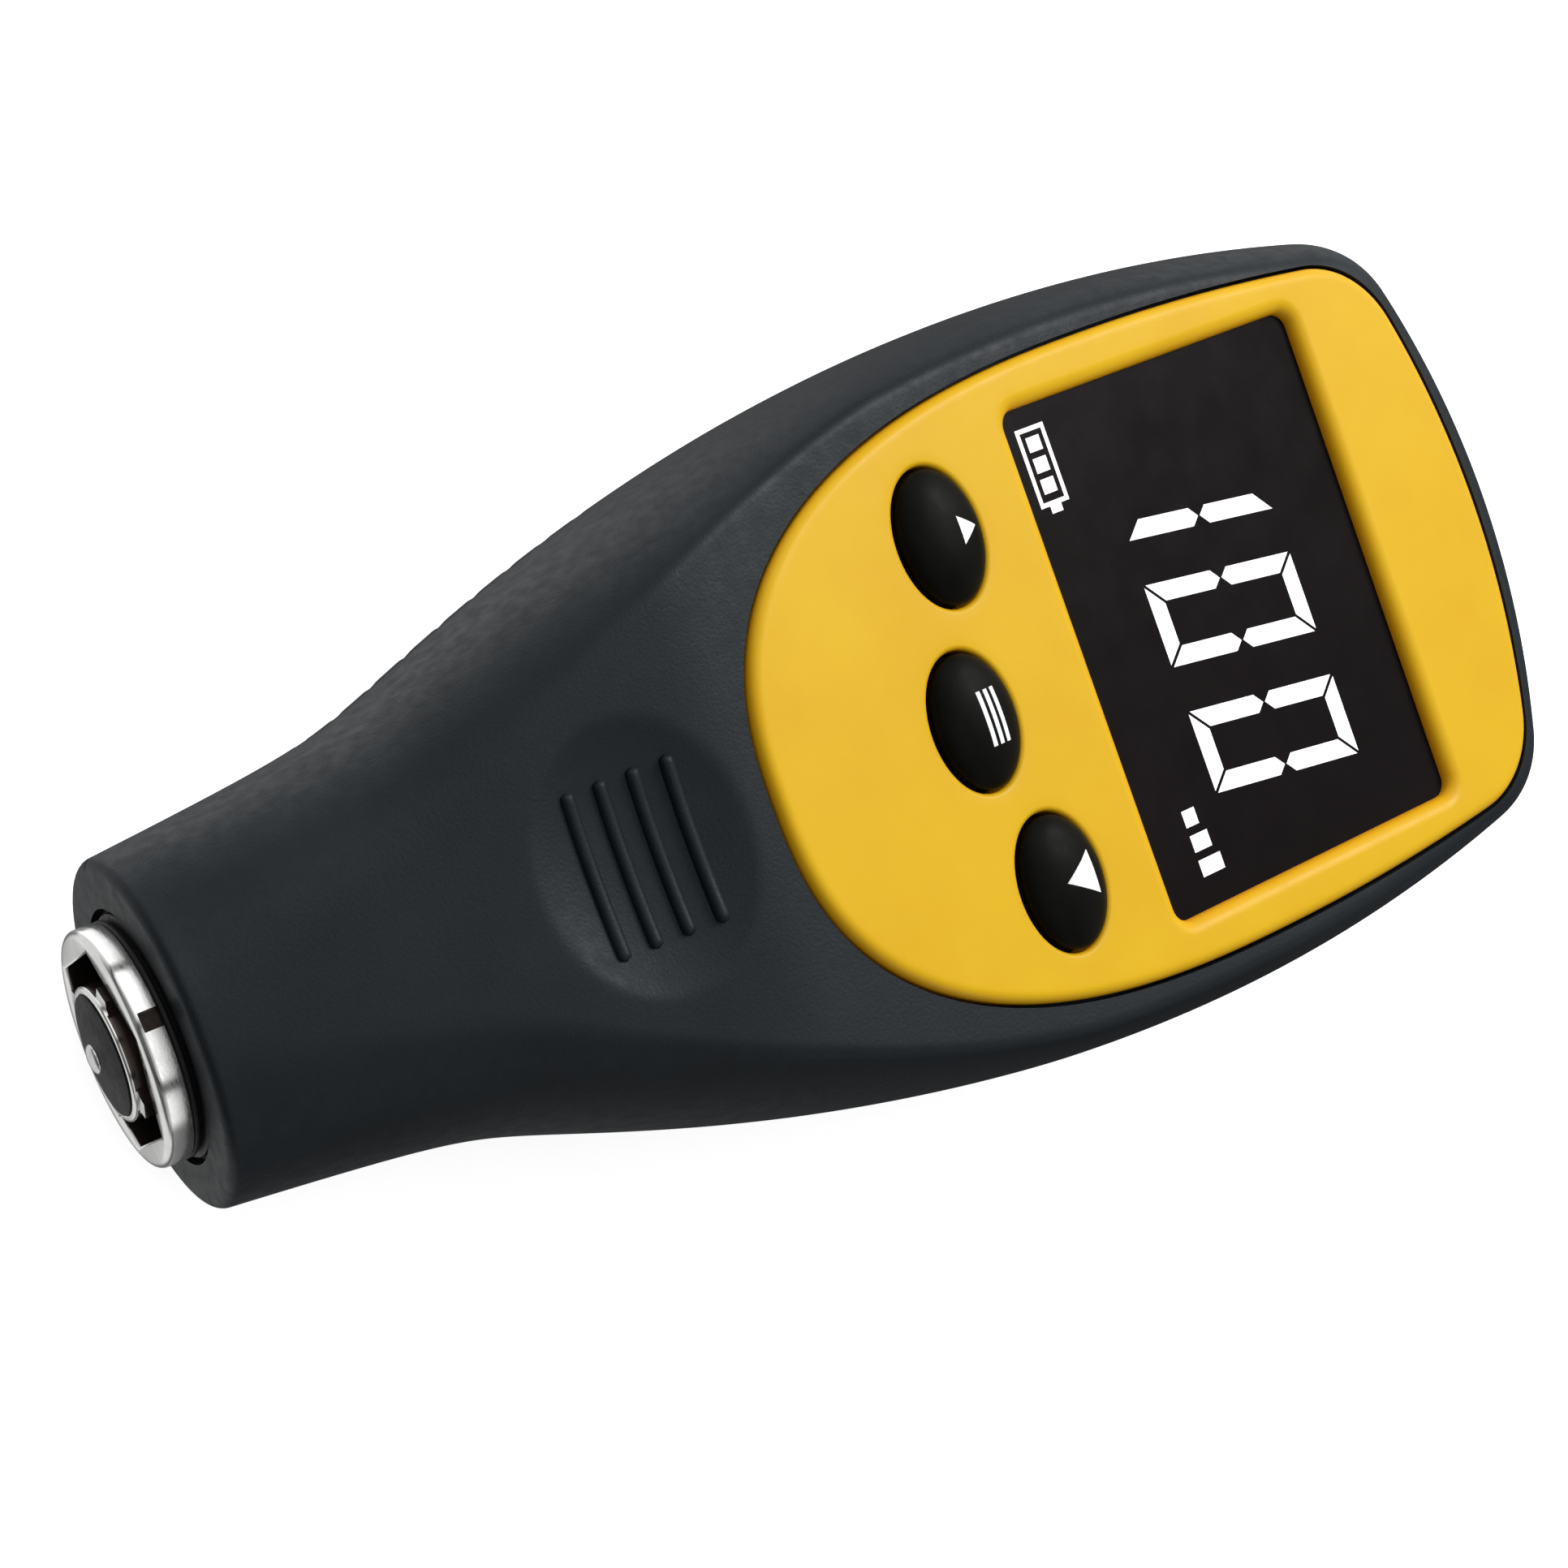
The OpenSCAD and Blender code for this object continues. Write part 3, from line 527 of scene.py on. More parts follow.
# Case halves


def mirror(points):
    return [(-x, s, z) for x, s, z in reversed(points)]


def half_loft(name, ribs, side, across_n, lid=None):
    """Closed loft: each rib, a straight line across, and the rib's mirror image."""
    rows = []
    for rib in ribs:
        right = side(rib)
        x, s, z = right[-1]
        xs = np.linspace(x, -x, across_n + 2)[1:-1]
        lift = lid(xs, s) if lid else np.zeros_like(xs)
        rows.append(right + [(a, s, z + b) for a, b in zip(xs, lift)] + mirror(right))
    n = len(rows[0])
    points = to_frame([p for row in rows for p in row])
    faces = ring_faces(len(rows), n)
    faces.append(tuple(range(n)))
    return make_object(name, points, faces, 50)


OUTER_RIBS = rib_list(FACE_S + RIM_R, 186, 22, 8)
HOLLOW_RIBS = rib_list(HOLLOW_S, 30, 8, 0)


def outer_down(name):
    return half_loft(name, OUTER_RIBS, lambda r: seam_edge(r, down_rib(r, 0, 0, 20), -1), 8)


def extend(points, dz):
    x, s, z = points[0]
    return [(x, s, z + dz)] + points


def post_places():
    """Screw posts: in from the side line, and toward the probe from the widest place or the head."""
    shoulder_s = WIDE_S - SHOULDER_POST[1]
    shoulder = (half_w(shoulder_s) - SHOULDER_POST[0], shoulder_s)
    head = (BODY_W / 2 - HEAD_POST[0], HEAD_S - HEAD_POST[1])
    return [(side * x, s) for x, s in (shoulder, head) for side in (-1, 1)]


def upright(name, x, s, r, z0, z1, n=32):
    return prism(name, circle_line(r, n, x, s), z0, z1, to_frame)


def nose_bore(name):
    return prism(name, circle_line(BORE_R, 128), -1, HOLLOW_S + 2, from_probe)


def plate_line(inset, low_n=60, high_n=18):
    """Faceplate outline: a superellipse toward the probe, arcs from the widest place to the head."""
    half = []
    for i in range(low_n + 1):
        a = math.pi / 2 * (1 - i / low_n)
        half.append(((PLATE_W / 2 - inset) * max(0.0, math.cos(a)) ** PLATE_POWER if i else 0.0,
                     PLATE_MID - (PLATE_DOWN + PLATE_MID - inset) * math.sin(a) ** PLATE_POWER))
    c1 = np.array([PLATE_W / 2 - PLATE_ARC, PLATE_MID])
    c2 = np.array([0.0, PLATE_UP - PLATE_BOW])
    c, a0, a1 = touch(c1, PLATE_ARC - inset, c2, PLATE_BOW - inset, PLATE_CORNER - inset)
    shares = [(i + 1) / high_n for i in range(high_n)]
    half += [polar(c1, PLATE_ARC - inset, a0 * k) for k in shares]
    half += [polar(c, PLATE_CORNER - inset, a0 + (a1 - a0) * k) for k in shares]
    half += [polar(c2, PLATE_BOW - inset, a1 + (math.pi / 2 - a1) * k) for k in shares]
    half[-1] = (0.0, half[-1][1])
    return np.array([tuple(q) for q in half] + [(-q[0], q[1]) for q in half[-2:0:-1]])


def grip_rib(name, y, n=60, sides=16):
    """Round rib that follows the dish across, with ends that run into it."""
    tilt = math.atan(NECK_RISE)
    depth = DISH_RY - DISH_DEEP - math.sqrt(DISH_RY ** 2 - y * y)
    reach = math.asin(GRIP_LEN / 2 / DISH_RX)
    rows = []
    for i in range(n + 1):
        t = 2 * i / n - 1
        a = reach * t
        r = GRIP_R * max(0.02, 1 - abs(t) ** GRIP_BLUNT) ** 0.5
        centre = (DISH_RX * math.sin(a), y, depth + DISH_RX * (1 - math.cos(a)))
        row = []
        for j in range(sides):
            b = 2 * math.pi * j / sides
            lift = r * math.cos(b)
            row.append((centre[0] - lift * math.sin(a), y + r * math.sin(b),
                        centre[2] + lift * math.cos(a)))
        rows.append(row)

    def place_points(p):
        c, s = math.cos(tilt), math.sin(tilt)
        out = np.column_stack([p[:, 0], DISH_S + p[:, 1] * c - p[:, 2] * s,
                               top_z(DISH_S) + p[:, 1] * s + p[:, 2] * c])
        return to_frame(out)

    return stack(name, rows, place_points)


def front_case():
    shell = half_loft("front_case_body", OUTER_RIBS,
                      lambda r: seam_edge(r, up_rib(r, 0, 0, 22, CREASE_SOFT), 1), 84, dish_drop)
    hollow = half_loft("hollow", HOLLOW_RIBS, lambda r: extend(up_rib(r, WALL, ROOF, 8), -0.6), 6)
    carve(shell, [hollow])
    posts = []
    for x, s in post_places():
        z0 = split_z(s - POST_R)
        z1 = min(top_z(s) - ROOF + 0.4, z0 + 6)
        posts.append(upright("post", x, s, POST_R, z0, z1))
    ribs = [grip_rib("rib", i * GRIP_PITCH) for i in (-1.5, -0.5, 0.5, 1.5)]
    carve(shell, posts + ribs, "UNION")
    cuts = [nose_bore("bore"),
            prism("pocket", plate_line(-PLATE_GAP), -PLATE_T, 6, from_plate),
            prism("opening", plate_line(LEDGE), -PLATE_T - 4, 0, from_plate)]
    cuts += [upright("hole", x, s, SCREW_R, 0, split_z(s) + 3) for x, s in post_places()]
    return carve(shell, cuts, smooth_angle=50)


def side_groove(name, side, s):
    x = side * (half_w(s) + GROOVE_R - GROOVE_DEEP)
    return upright(name, x, s, GROOVE_R, -1, split_z(s) - 0.4, 24)


def rear_case():
    shell = outer_down("rear_case_body")
    hollow = half_loft("hollow", HOLLOW_RIBS, lambda r: extend(down_rib(r, WALL, FLOOR_T, 8), 0.6), 6)
    carve(shell, [hollow])
    wall_x = BAY_HALF + BAY_WALL
    bay_s = (BAY_S - BAY_WALL, BAY_END + BAY_WALL)
    foot = FLOOR_T - 0.2
    solids = [box("bay_walls", (-wall_x, wall_x), bay_s, (foot, BAY_TOP))]
    solids += [upright("post", x, s, POST_R, foot, split_z(s + POST_R)) for x, s in post_places()]
    carve(shell, solids, "UNION")
    g = DOOR_GAP
    half = DOOR_W / 2 + g
    past_head = HEAD_S + 5
    rail_z = (RAIL_Z[0] - g, RAIL_Z[1] + g)
    cuts = [nose_bore("bore"),
            box("recess", (-half, half), (DOOR_S - g, past_head), (-1, DOOR_T + g)),
            box("rails", (-half - RAIL, half + RAIL), (RAIL_S - g, past_head), rail_z),
            box("bay", (-BAY_HALF, BAY_HALF), (BAY_S, BAY_END), (0, BAY_TOP + 1))]
    for x, s in post_places():
        cuts.append(upright("hole", x, s, SCREW_R, -1, 20))
        cuts.append(upright("head_hole", x, s, HEAD_HOLE_R, -1, HEAD_HOLE_TOP, 48))
    for i in range(GROOVE_N):
        cuts += [side_groove("groove", side, GROOVE_S + i * GROOVE_PITCH) for side in (-1, 1)]
    return carve(shell, cuts, smooth_angle=50)


def battery_door():
    door = outer_down("battery_door_body")
    half = DOOR_W / 2
    blank = box("blank", (-half, half), (DOOR_S, HEAD_S + 1), (-1, DOOR_T))
    rails = box("rails", (-half - RAIL, half + RAIL), (RAIL_S, RAIL_END), RAIL_Z)
    carve(blank, [rails], "UNION")
    carve(door, [blank], "INTERSECT")
    grooves = []
    for i in range(4):
        s = PULL_S + PULL_PITCH * i
        line = circle_line(0.6, 24, s, -0.25)
        grooves.append(stack("groove", [[(x, a, b) for a, b in line] for x in (-6, 6)], to_frame))
    return carve(door, grooves, smooth_angle=50)


# Faceplate and display


def round_rect(grow, steps=8):
    """Window outline grown on all sides, with round corners."""
    r = WIN_CORNER + grow
    cx = WIN_W / 2 + grow - r
    cy = WIN_H / 2 + grow - r
    points = []
    for quarter, (sx, sy) in enumerate(((1, 1), (-1, 1), (-1, -1), (1, -1))):
        for k in range(steps + 1):
            a = math.pi / 2 * (quarter + k / steps)
            points.append((sx * cx + r * math.cos(a), sy * cy + r * math.sin(a)))
    return np.array(points)


def key_line(centre, grow, n=72):
    a = 2 * math.pi * np.arange(n) / n
    return np.column_stack([centre[0] + (KEY_W / 2 + grow) * np.cos(a),
                            centre[1] + (KEY_L / 2 + grow) * np.sin(a)])


def edge_arc(start, radius, steps=7):
    """Rows (offset, z, painted shade) of a rounded edge from the top face down to a wall; the painted shade
    grows down the edge.
    """
    rows = []
    for k in range(steps + 1):
        a = math.pi / 2 * k / steps
        painted_shade = EDGE_SHADE_PAINT * (k / steps) ** 2
        rows.append((start + radius * (1 - math.sin(a)), radius * (math.cos(a) - 1), painted_shade))
    return rows


def flat_fill(loops):
    """Triangles of a flat area between an outer loop and the holes in it."""
    points = [Vector(p) for loop in loops for p in loop]
    edges = []
    base = 0
    for loop in loops:
        n = len(loop)
        edges += [(base + i, base + (i + 1) % n) for i in range(n)]
        base += n
    result = delaunay_2d_cdt(points, edges, [], 0, 1e-6)
    where = [ids[0] for ids in result[3]]
    faces = []
    for face in result[2]:
        middle = sum((result[0][i] for i in face), Vector((0, 0))) / len(face)
        if inside(middle, loops[0]) and not any(inside(middle, loop) for loop in loops[1:]):
            faces.append([where[i] for i in face])
    return faces


def inside(p, loop):
    x, y = loop[:, 0], loop[:, 1]
    x2, y2 = np.roll(x, -1), np.roll(y, -1)
    crosses = (y > p[1]) != (y2 > p[1])
    with np.errstate(divide="ignore", invalid="ignore"):
        at = x + (p[1] - y) * (x2 - x) / (y2 - y)
    return bool(np.count_nonzero(crosses & (p[0] < at)) % 2)


def faceplate():
    """Yellow plate with a rounded edge, a window with a rolled edge and three key holes; a point attribute
    carries painted shade that grows down the edges into the walls.
    """
    rim = [(PLATE_FILLET + 0.25, 0.0, 0.0)]
    rim += edge_arc(0.0, PLATE_FILLET)
    rim += [(0.0, -PLATE_T, 1.0)]
    # Third values are painted shade: it grows down the window's roll to the full share on its wall, with
    # less on the lens step
    window = [(WIN_ROLL + 0.4, 0.0, 0.0)]
    for k in range(ROLL_STEPS + 1):
        share = k / ROLL_STEPS
        a = math.pi / 2 * (1 - share)
        z = (WIN_DEEP - WIN_WALL) * (math.sin(a) - 1)
        window.append((WIN_ROLL * (1 - math.cos(a)), z, share ** 2))
    window += [(0.0, -WIN_DEEP, 1.0), (LENS_STEP, -WIN_DEEP, 0.3), (LENS_STEP, -PLATE_T, 0.3)]
    hole = [(KEY_GAP + 1.1, 0.0, 0.0)]
    hole += edge_arc(KEY_GAP, KEY_HOLE_ROUND)
    hole += [(KEY_GAP, -PLATE_T, 1.0)]
    groups = [[(plate_line(o), z, t) for o, z, t in rim],
              [(round_rect(o), z, t) for o, z, t in window]]
    groups += [[(key_line(c, o), z, t) for o, z, t in hole] for c in KEYS.values()]
    points, painted_shade, faces = [], [], []
    for rows in groups:
        base = len(points)
        n = len(rows[0][0])
        for line, z, t in rows:
            points += [(x, y, z) for x, y in line]
            painted_shade += [t] * n
        faces += [tuple(base + i for i in f) for f in ring_faces(len(rows), n)]
    for row, z in ((0, 0.0), (-1, -PLATE_T)):
        loops = [rows[row][0] for rows in groups]
        fill = flat_fill(loops)
        base = len(points)
        for loop, rows in zip(loops, groups):
            points += [(x, y, z) for x, y in loop]
            painted_shade += [rows[row][2]] * len(loop)
        faces += [tuple(base + i for i in f) for f in fill]
    plate = make_object("faceplate_body", from_plate(points), faces, 50, ("edge", painted_shade))
    weigh_normals(plate)
    return plate


def slab(name, lines, z0, z1):
    """One object of thin flat shapes lying on the faceplate frame."""
    points, faces = [], []
    for line in lines:
        n = len(line)
        base = len(points)
        points += [(x, y, z0) for x, y in line] + [(x, y, z1) for x, y in line]
        faces += [tuple(base + i for i in f) for f in ring_faces(2, n)]
        faces += [tuple(range(base, base + n)), tuple(range(base + n, base + 2 * n))]
    return make_object(name, from_plate(points), faces)


DIGIT_W = 6.0
DIGIT_H = 13.8
DIGIT_T = 1.35
DIGIT_GAP = 0.17
DIGIT_SLANT = math.tan(math.radians(7))
DIGIT_Y = 0.35
DIGIT_XS = (-9.35, -0.08, 9.2)


def digit_segments(names):
    """Outlines of the lit bars of one digit about its centre."""
    w, h, t, g = DIGIT_W / 2, DIGIT_H / 2, DIGIT_T, DIGIT_GAP
    top = [(-w + g, h), (w - g, h), (w - t - g, h - t), (-w + t + g, h - t)]
    right = [(w, h - g), (w, t / 2 + g / 2), (w - t / 2, g / 2), (w - t, t / 2 + g / 2), (w - t, h - t - g)]
    bars = {"top": top, "bottom": [(x, -y) for x, y in top],
            "right_up": right, "right_low": [(x, -y) for x, y in right],
            "left_up": [(-x, y) for x, y in right], "left_low": [(-x, -y) for x, y in right]}
    return [np.array(bars[name], float) for name in names]


def display_marks():
    """Lit figures and two plain symbols on the display."""
    one = ("right_up", "right_low")
    nought = ("top", "bottom", "left_up", "left_low", "right_up", "right_low")
    lines = []
    for x, names in zip(DIGIT_XS, (one, nought, nought)):
        for bar in digit_segments(names):
            bar[:, 0] += x + bar[:, 1] * DIGIT_SLANT
            bar[:, 1] += DIGIT_Y
            lines.append(bar)
    lines += [rect_line(11.5 + 1.8 * i, 12.7 + 1.8 * i, -10.1, -8.9 + 0.45 * i) for i in range(3)]
    x0, x1, y0, y1, t = -17.0, -11.4, -12.8, -10.2, 0.32
    lines += [rect_line(x0, x1, y0, y0 + t), rect_line(x0, x1, y1 - t, y1),
              rect_line(x0, x0 + t, y0 + t, y1 - t), rect_line(x1 - t, x1, y0 + t, y1 - t),
              rect_line(x1, x1 + 0.55, y0 + 0.8, y1 - 0.8)]
    lines += [rect_line(x0 + 0.7 + 1.5 * i, x0 + 1.75 + 1.5 * i, y0 + 0.7, y1 - 0.7) for i in range(3)]
    return slab("display_marks", lines, -WIN_DEEP + 0.005, -WIN_DEEP + 0.03)


def dome_z(u, v):
    """Height of a key's crown at shares u and v of its half sizes."""
    rho = np.clip(np.sqrt(np.asarray(u) ** 2 + np.asarray(v) ** 2), 0, 1)
    return DOME_FOOT + (KEY_UP - DOME_FOOT) * (1 - rho ** 2.3) ** 0.62


def key_cap(name, centre):
    seat = -PLATE_T - KEY_SEAT
    rows = [(KEY_LIP, seat - LIP_T), (KEY_LIP, seat), (0.0, seat)]
    lines = [with_z(key_line(centre, o), z) for o, z in rows]
    for k in range(DOME_STEPS):
        rho = math.cos(math.pi / 2 * k / DOME_STEPS)
        line = centre + (key_line((0, 0), 0) * rho)
        lines.append(with_z(line, float(dome_z(rho, 0))))
    points = np.vstack(lines + [np.array([(centre[0], centre[1], KEY_UP)])])
    count = len(lines[0])
    faces = ring_faces(len(lines), count)
    faces.append(tuple(range(count)))
    top = len(points) - 1
    base = (len(lines) - 1) * count
    faces += [(base + i, base + (i + 1) % count, top) for i in range(count)]
    return make_object(name, from_plate(points), faces, 50)


def key_mark(name, centre, outlines, lift=0.02, cell=0.12):
    """Flat white sign laid on a key's crown."""
    points, faces = [], []
    for line in outlines:
        lo, hi = line.min(0), line.max(0)
        inner = [(x, y) for x in np.arange(lo[0], hi[0], cell) for y in np.arange(lo[1], hi[1], cell)
                 if inside((x, y), line)]
        edge = []
        for a, b in zip(line, np.roll(line, -1, 0)):
            steps = max(1, int(np.hypot(*(b - a)) / cell))
            edge += [tuple(a + (b - a) * k / steps) for k in range(steps)]
        ring = len(edge)
        cloud = [Vector(p) for p in edge + inner]
        bounds = [(i, (i + 1) % ring) for i in range(ring)]
        result = delaunay_2d_cdt(cloud, bounds, [], 0, 1e-6)
        base = len(points)
        for p in result[0]:
            z = float(dome_z(p[0] / (KEY_W / 2), p[1] / (KEY_L / 2)))
            points.append((centre[0] + p[0], centre[1] + p[1], z + lift))
        for face in result[2]:
            middle = sum((result[0][i] for i in face), Vector((0, 0))) / len(face)
            if inside(middle, line):
                faces.append([base + i for i in face])
    return make_object(name, from_plate(points), faces)


# Probe


def probe_ring():
    r1, neck, guide = RING_R, RING_NECK_R, SLEEVE_R + RUN_GAP
    profile = rounded([(guide, 0.0), (r1, 0.0), (r1, FLANGE_T), (neck, FLANGE_T), (neck, RING_LEN),
                       (guide, RING_LEN)], (0, RING_ROUND, 0.15, 0, 0.2, 0), 8)
    ring = lathe("probe_ring_body", profile, from_probe, 192)
    rows = []
    for grow, z in ((1.2, -1.0), (0.2, 0.0), (0.06, 0.05), (0.0, 0.2), (0.0, MOUTH_DEEP)):
        corner = (MOUTH_R + grow) / math.cos(math.pi / 6)
        rows.append([(*polar((0, 0), corner, MOUTH_TURN + math.pi / 3 * k), z) for k in range(6)])
    cuts = [stack("mouth", rows, from_probe)]
    slot = turned(rect_line(r1 - SLOT_DEEP, r1 + 1, -SLOT_W / 2, SLOT_W / 2), SLOT_TURN)
    cuts.append(prism("slot", slot, RING_ROUND, FLANGE_T + 1, from_probe))
    carve(ring, cuts, smooth_angle=35)

    # Painted shade: faces deep in the mouth, round the neck behind the flange and on the slot walls are
    # marked to be painted near black
    def dark(r, z):
        mouth = (r < RING_NECK_R - 0.3) & (z > 1.2)
        neck_side = (r < r1 - 0.3) & (z > FLANGE_T)
        slot_walls = (r > r1 - 0.8) & (r < r1 - 0.05) & (z > RING_ROUND + 0.02) & (z < FLANGE_T - 0.16)
        return mouth | neck_side | slot_walls

    mark_faces(ring, "dark", dark)
    return ring


def nose_seal():
    inner, outer = RING_NECK_R + RUN_GAP, SEAL_R
    z0, z1 = FLANGE_T, FLANGE_T + SEAL_LEN
    profile = rounded([(inner, z0), (outer - 0.25, z0), (outer - 0.25, z0 + 0.3), (outer - 0.6, z0 + 0.45),
                       (outer - 0.6, z0 + 0.6), (outer, z0 + 0.75), (outer, z1), (inner, z1)],
                      (0, 0.12, 0.08, 0, 0, 0.1, 0.1, 0), 4)
    return lathe("nose_seal_body", profile, from_probe)


def probe_sleeve():
    outer, inner = SLEEVE_R, SLEEVE_R - SLEEVE_WALL
    wide = outer + COLLAR_OUT
    front, end = -SLEEVE_UP, SPRING_S
    profile = rounded([(inner, front), (outer, front), (outer, COLLAR_S), (wide, COLLAR_S),
                       (wide, end), (inner, end)], (0.1, 0.22, 0, 0.1, 0.1, 0))
    sleeve = lathe("probe_sleeve_body", profile, from_probe, 128)
    ears = []
    for k in range(4):
        line = np.array([(inner + 0.1, 1.3), (outer + 0.3, 0.75), (outer + 0.9, 0.65),
                         (outer + 0.9, -0.65), (outer + 0.3, -0.75), (inner + 0.1, -1.3)])
        line = turned(line, math.pi / 4 + math.pi / 2 * k)
        ears.append(prism("ear", line, front + 0.3, 1.5, from_probe))
    carve(sleeve, ears, "UNION", 35)
    bore = prism("bore", circle_line(inner, 128), -3, end + 1, from_probe)
    carve(sleeve, [bore], smooth_angle=35)
    # Painted shade: the sleeve's outer wall inside the ring is marked to be painted near black
    mark_faces(sleeve, "dark", lambda r, z: (r > outer - 0.05) & (z > 0.0))
    return sleeve


def probe_spring():
    """Return spring between the sleeve's collar and the back of the housing."""
    steps = SPRING_TURNS * 32
    z0, z1 = SPRING_S + WIRE_R + 0.02, SPRING_END - WIRE_R - 0.02
    wire = circle_line(WIRE_R, 12) + (SPRING_R, 0)
    rows = []
    for i in range(steps + 1):
        a = 2 * math.pi * SPRING_TURNS * i / steps
        rows.append([(r * math.cos(a), r * math.sin(a), z0 + (z1 - z0) * i / steps + up) for r, up in wire])
    return stack("probe_spring_body", rows, from_probe)


def probe_core():
    """Core with a low dome round the tip and a groove for the coil."""
    r, front, end = SLEEVE_R - SLEEVE_WALL - 0.01, -SLEEVE_UP - 0.1, RING_LEN - 1
    rise = STAND - TIP_SHOW + front
    dome = [(a, front - rise * (1 - (a / r) ** 2)) for a in np.linspace(TIP_R, r, 14)]
    out, core = r - 0.7, TIP_R + 0.85
    groove = [(r, end), (out, end), (out, COIL_S), (core, COIL_S), (core, end), (TIP_R, end)]
    return lathe("probe_core_body", dome + groove, from_probe, 96)


def probe_tip():
    end = RING_LEN - 1
    crown = [(TIP_R * math.sin(a), -STAND + TIP_SHOW * (1 - math.cos(a)))
             for a in np.linspace(0, math.pi / 2, 10)]
    return lathe("probe_tip_body", [(0.0, end)] + crown + [(TIP_R, end)], from_probe, 48, 50)


# Screws in the back


def screw(name, x, s):
    """Small pan-head screw with a cross recess, seated in its hole."""
    r, seat = HEAD_HOLE_R - 0.15, HEAD_HOLE_TOP
    profile = rounded([(0.0, seat - 1.3), (r, seat - 1.3), (r, seat), (SCREW_R - 0.05, seat),
                       (SCREW_R - 0.05, seat + 4), (0.0, seat + 4)], (0, 0.5, 0, 0, 0.2, 0))

    def place_points(p):
        p = np.asarray(p, float)
        return to_frame(np.column_stack([p[:, 0] + x, p[:, 1] + s, p[:, 2]]))

    body = lathe(name, profile, place_points, 48)
    arm, half = 1.05, 0.2
    cross = np.array([(half, half), (half, arm), (-half, arm), (-half, half), (-arm, half), (-arm, -half),
                      (-half, -half), (-half, -arm), (half, -arm), (half, -half), (arm, -half), (arm, half)])
    recess = prism("recess", cross, seat - 2, seat - 0.6, place_points)
    return carve(body, [recess], smooth_angle=40)


# Materials


def colour_ramp(tree, value, stops):
    """Colour along a value between 0 and 1."""
    node = tree.nodes.new("ShaderNodeValToRGB")
    ends = node.color_ramp.elements
    while len(ends) < len(stops):
        ends.new(0.5)
    for end, (at, colour) in zip(ends, stops):
        end.position = at
        end.color = (*colour, 1)
    tree.links.new(value, node.inputs["Fac"])
    return node.outputs["Color"]


class Look:
    """A Principled material with short helpers for its nodes."""

    def __init__(self, name, **sockets):
        self.material = bpy.data.materials.new(name)
        self.material.use_nodes = True
        self.tree = self.material.node_tree
        self.shader = self.tree.nodes["Principled BSDF"]
        for socket, value in sockets.items():
            self.shader.inputs[socket.replace("_", " ")].default_value = value
        coords = self.tree.nodes.new("ShaderNodeTexCoord")
        self.coords = coords.outputs["Object"]

    def link(self, a, b):
        self.tree.links.new(a, b)

    def noise(self, size, detail=3.0, roughness=0.55, stretch=None):
        """Noise whose grain has the given size in millimetres."""
        node = self.tree.nodes.new("ShaderNodeTexNoise")
        node.inputs["Scale"].default_value = 1 / (size * MM)
        node.inputs["Detail"].default_value = detail
        node.inputs["Roughness"].default_value = roughness
        source = self.coords
        if stretch:
            mapping = self.tree.nodes.new("ShaderNodeMapping")
            mapping.inputs["Scale"].default_value = stretch
            self.link(source, mapping.inputs["Vector"])
            source = mapping.outputs["Vector"]
        self.link(source, node.inputs["Vector"])
        return node.outputs["Fac"]

    def attribute(self, name):
        node = self.tree.nodes.new("ShaderNodeAttribute")
        node.attribute_name = name
        return node.outputs["Fac"]

    def spread(self, value, low, high):
        """Value between 0 and 1 turned into a number between low and high."""
        node = self.tree.nodes.new("ShaderNodeMapRange")
        node.inputs["From Min"].default_value = 0.3
        node.inputs["From Max"].default_value = 0.7
        node.inputs["To Min"].default_value = low
        node.inputs["To Max"].default_value = high
        self.link(value, node.inputs["Value"])
        return node.outputs["Result"]

    def ramp(self, value, stops):
        return colour_ramp(self.tree, value, stops)

    def tones(self, size, detail, dark, light):
        """Uneven colour between two display tones, by noise of the given size."""
        return self.ramp(self.noise(size, detail), [(0.35, linear(*dark)), (0.7, linear(*light))])

    def mix(self, share, a, b):
        node = self.tree.nodes.new("ShaderNodeMix")
        node.data_type = "RGBA"
        self.link(share, node.inputs["Factor"])
        for value, socket in ((a, node.inputs["A"]), (b, node.inputs["B"])):
            if isinstance(value, tuple):
                socket.default_value = (*value, 1)
            else:
                self.link(value, socket)
        return node.outputs["Result"]

    def colour(self, source):
        self.link(source, self.shader.inputs["Base Color"])

    def rough(self, source):
        self.link(source, self.shader.inputs["Roughness"])

    def bump(self, height, depth, strength=1.0):
        """Relief of the given depth in millimetres."""
        node = self.tree.nodes.new("ShaderNodeBump")
        node.inputs["Strength"].default_value = strength
        node.inputs["Distance"].default_value = depth * MM
        self.link(height, node.inputs["Height"])
        self.link(node.outputs["Normal"], self.shader.inputs["Normal"])


def linear(r, g, b):
    """Linear colour from display values of 0 to 255."""
    def part(v):
        v /= 255
        return v / 12.92 if v <= 0.04045 else ((v + 0.055) / 1.055) ** 2.4
    return (part(r), part(g), part(b))


def surface(name, tones, gloss, relief=None, **sockets):
    """Two close tones, uneven gloss and fine relief; each begins with the values of its noise."""
    look = Look(name, **sockets)
    look.colour(look.tones(*tones))
    *grain, low, high = gloss
    look.rough(look.spread(look.noise(*grain), low, high))
    if relief:
        *grain, depth = relief
        look.bump(look.noise(*grain), depth)
    return look.material


def dull(name, dark, light, rough, grain, depth, spec=0.35):
    """Plain moulded or printed surface."""
    return surface(name, (grain * 8, 4, dark, light), (grain * 3, 3, rough - 0.06, rough + 0.06),
                   (grain, 2, depth), Specular_IOR_Level=spec)


def metal(name, dark, light, rough, stretch):
    """Drawn or stamped metal with its grain stretched along one axis."""
    return surface(name, (1.2, 4, dark, light), (0.4, 4, 0.6, stretch, rough - 0.08, rough + 0.08),
                   (0.2, 3, 0.6, stretch, 0.004), Metallic=1.0)


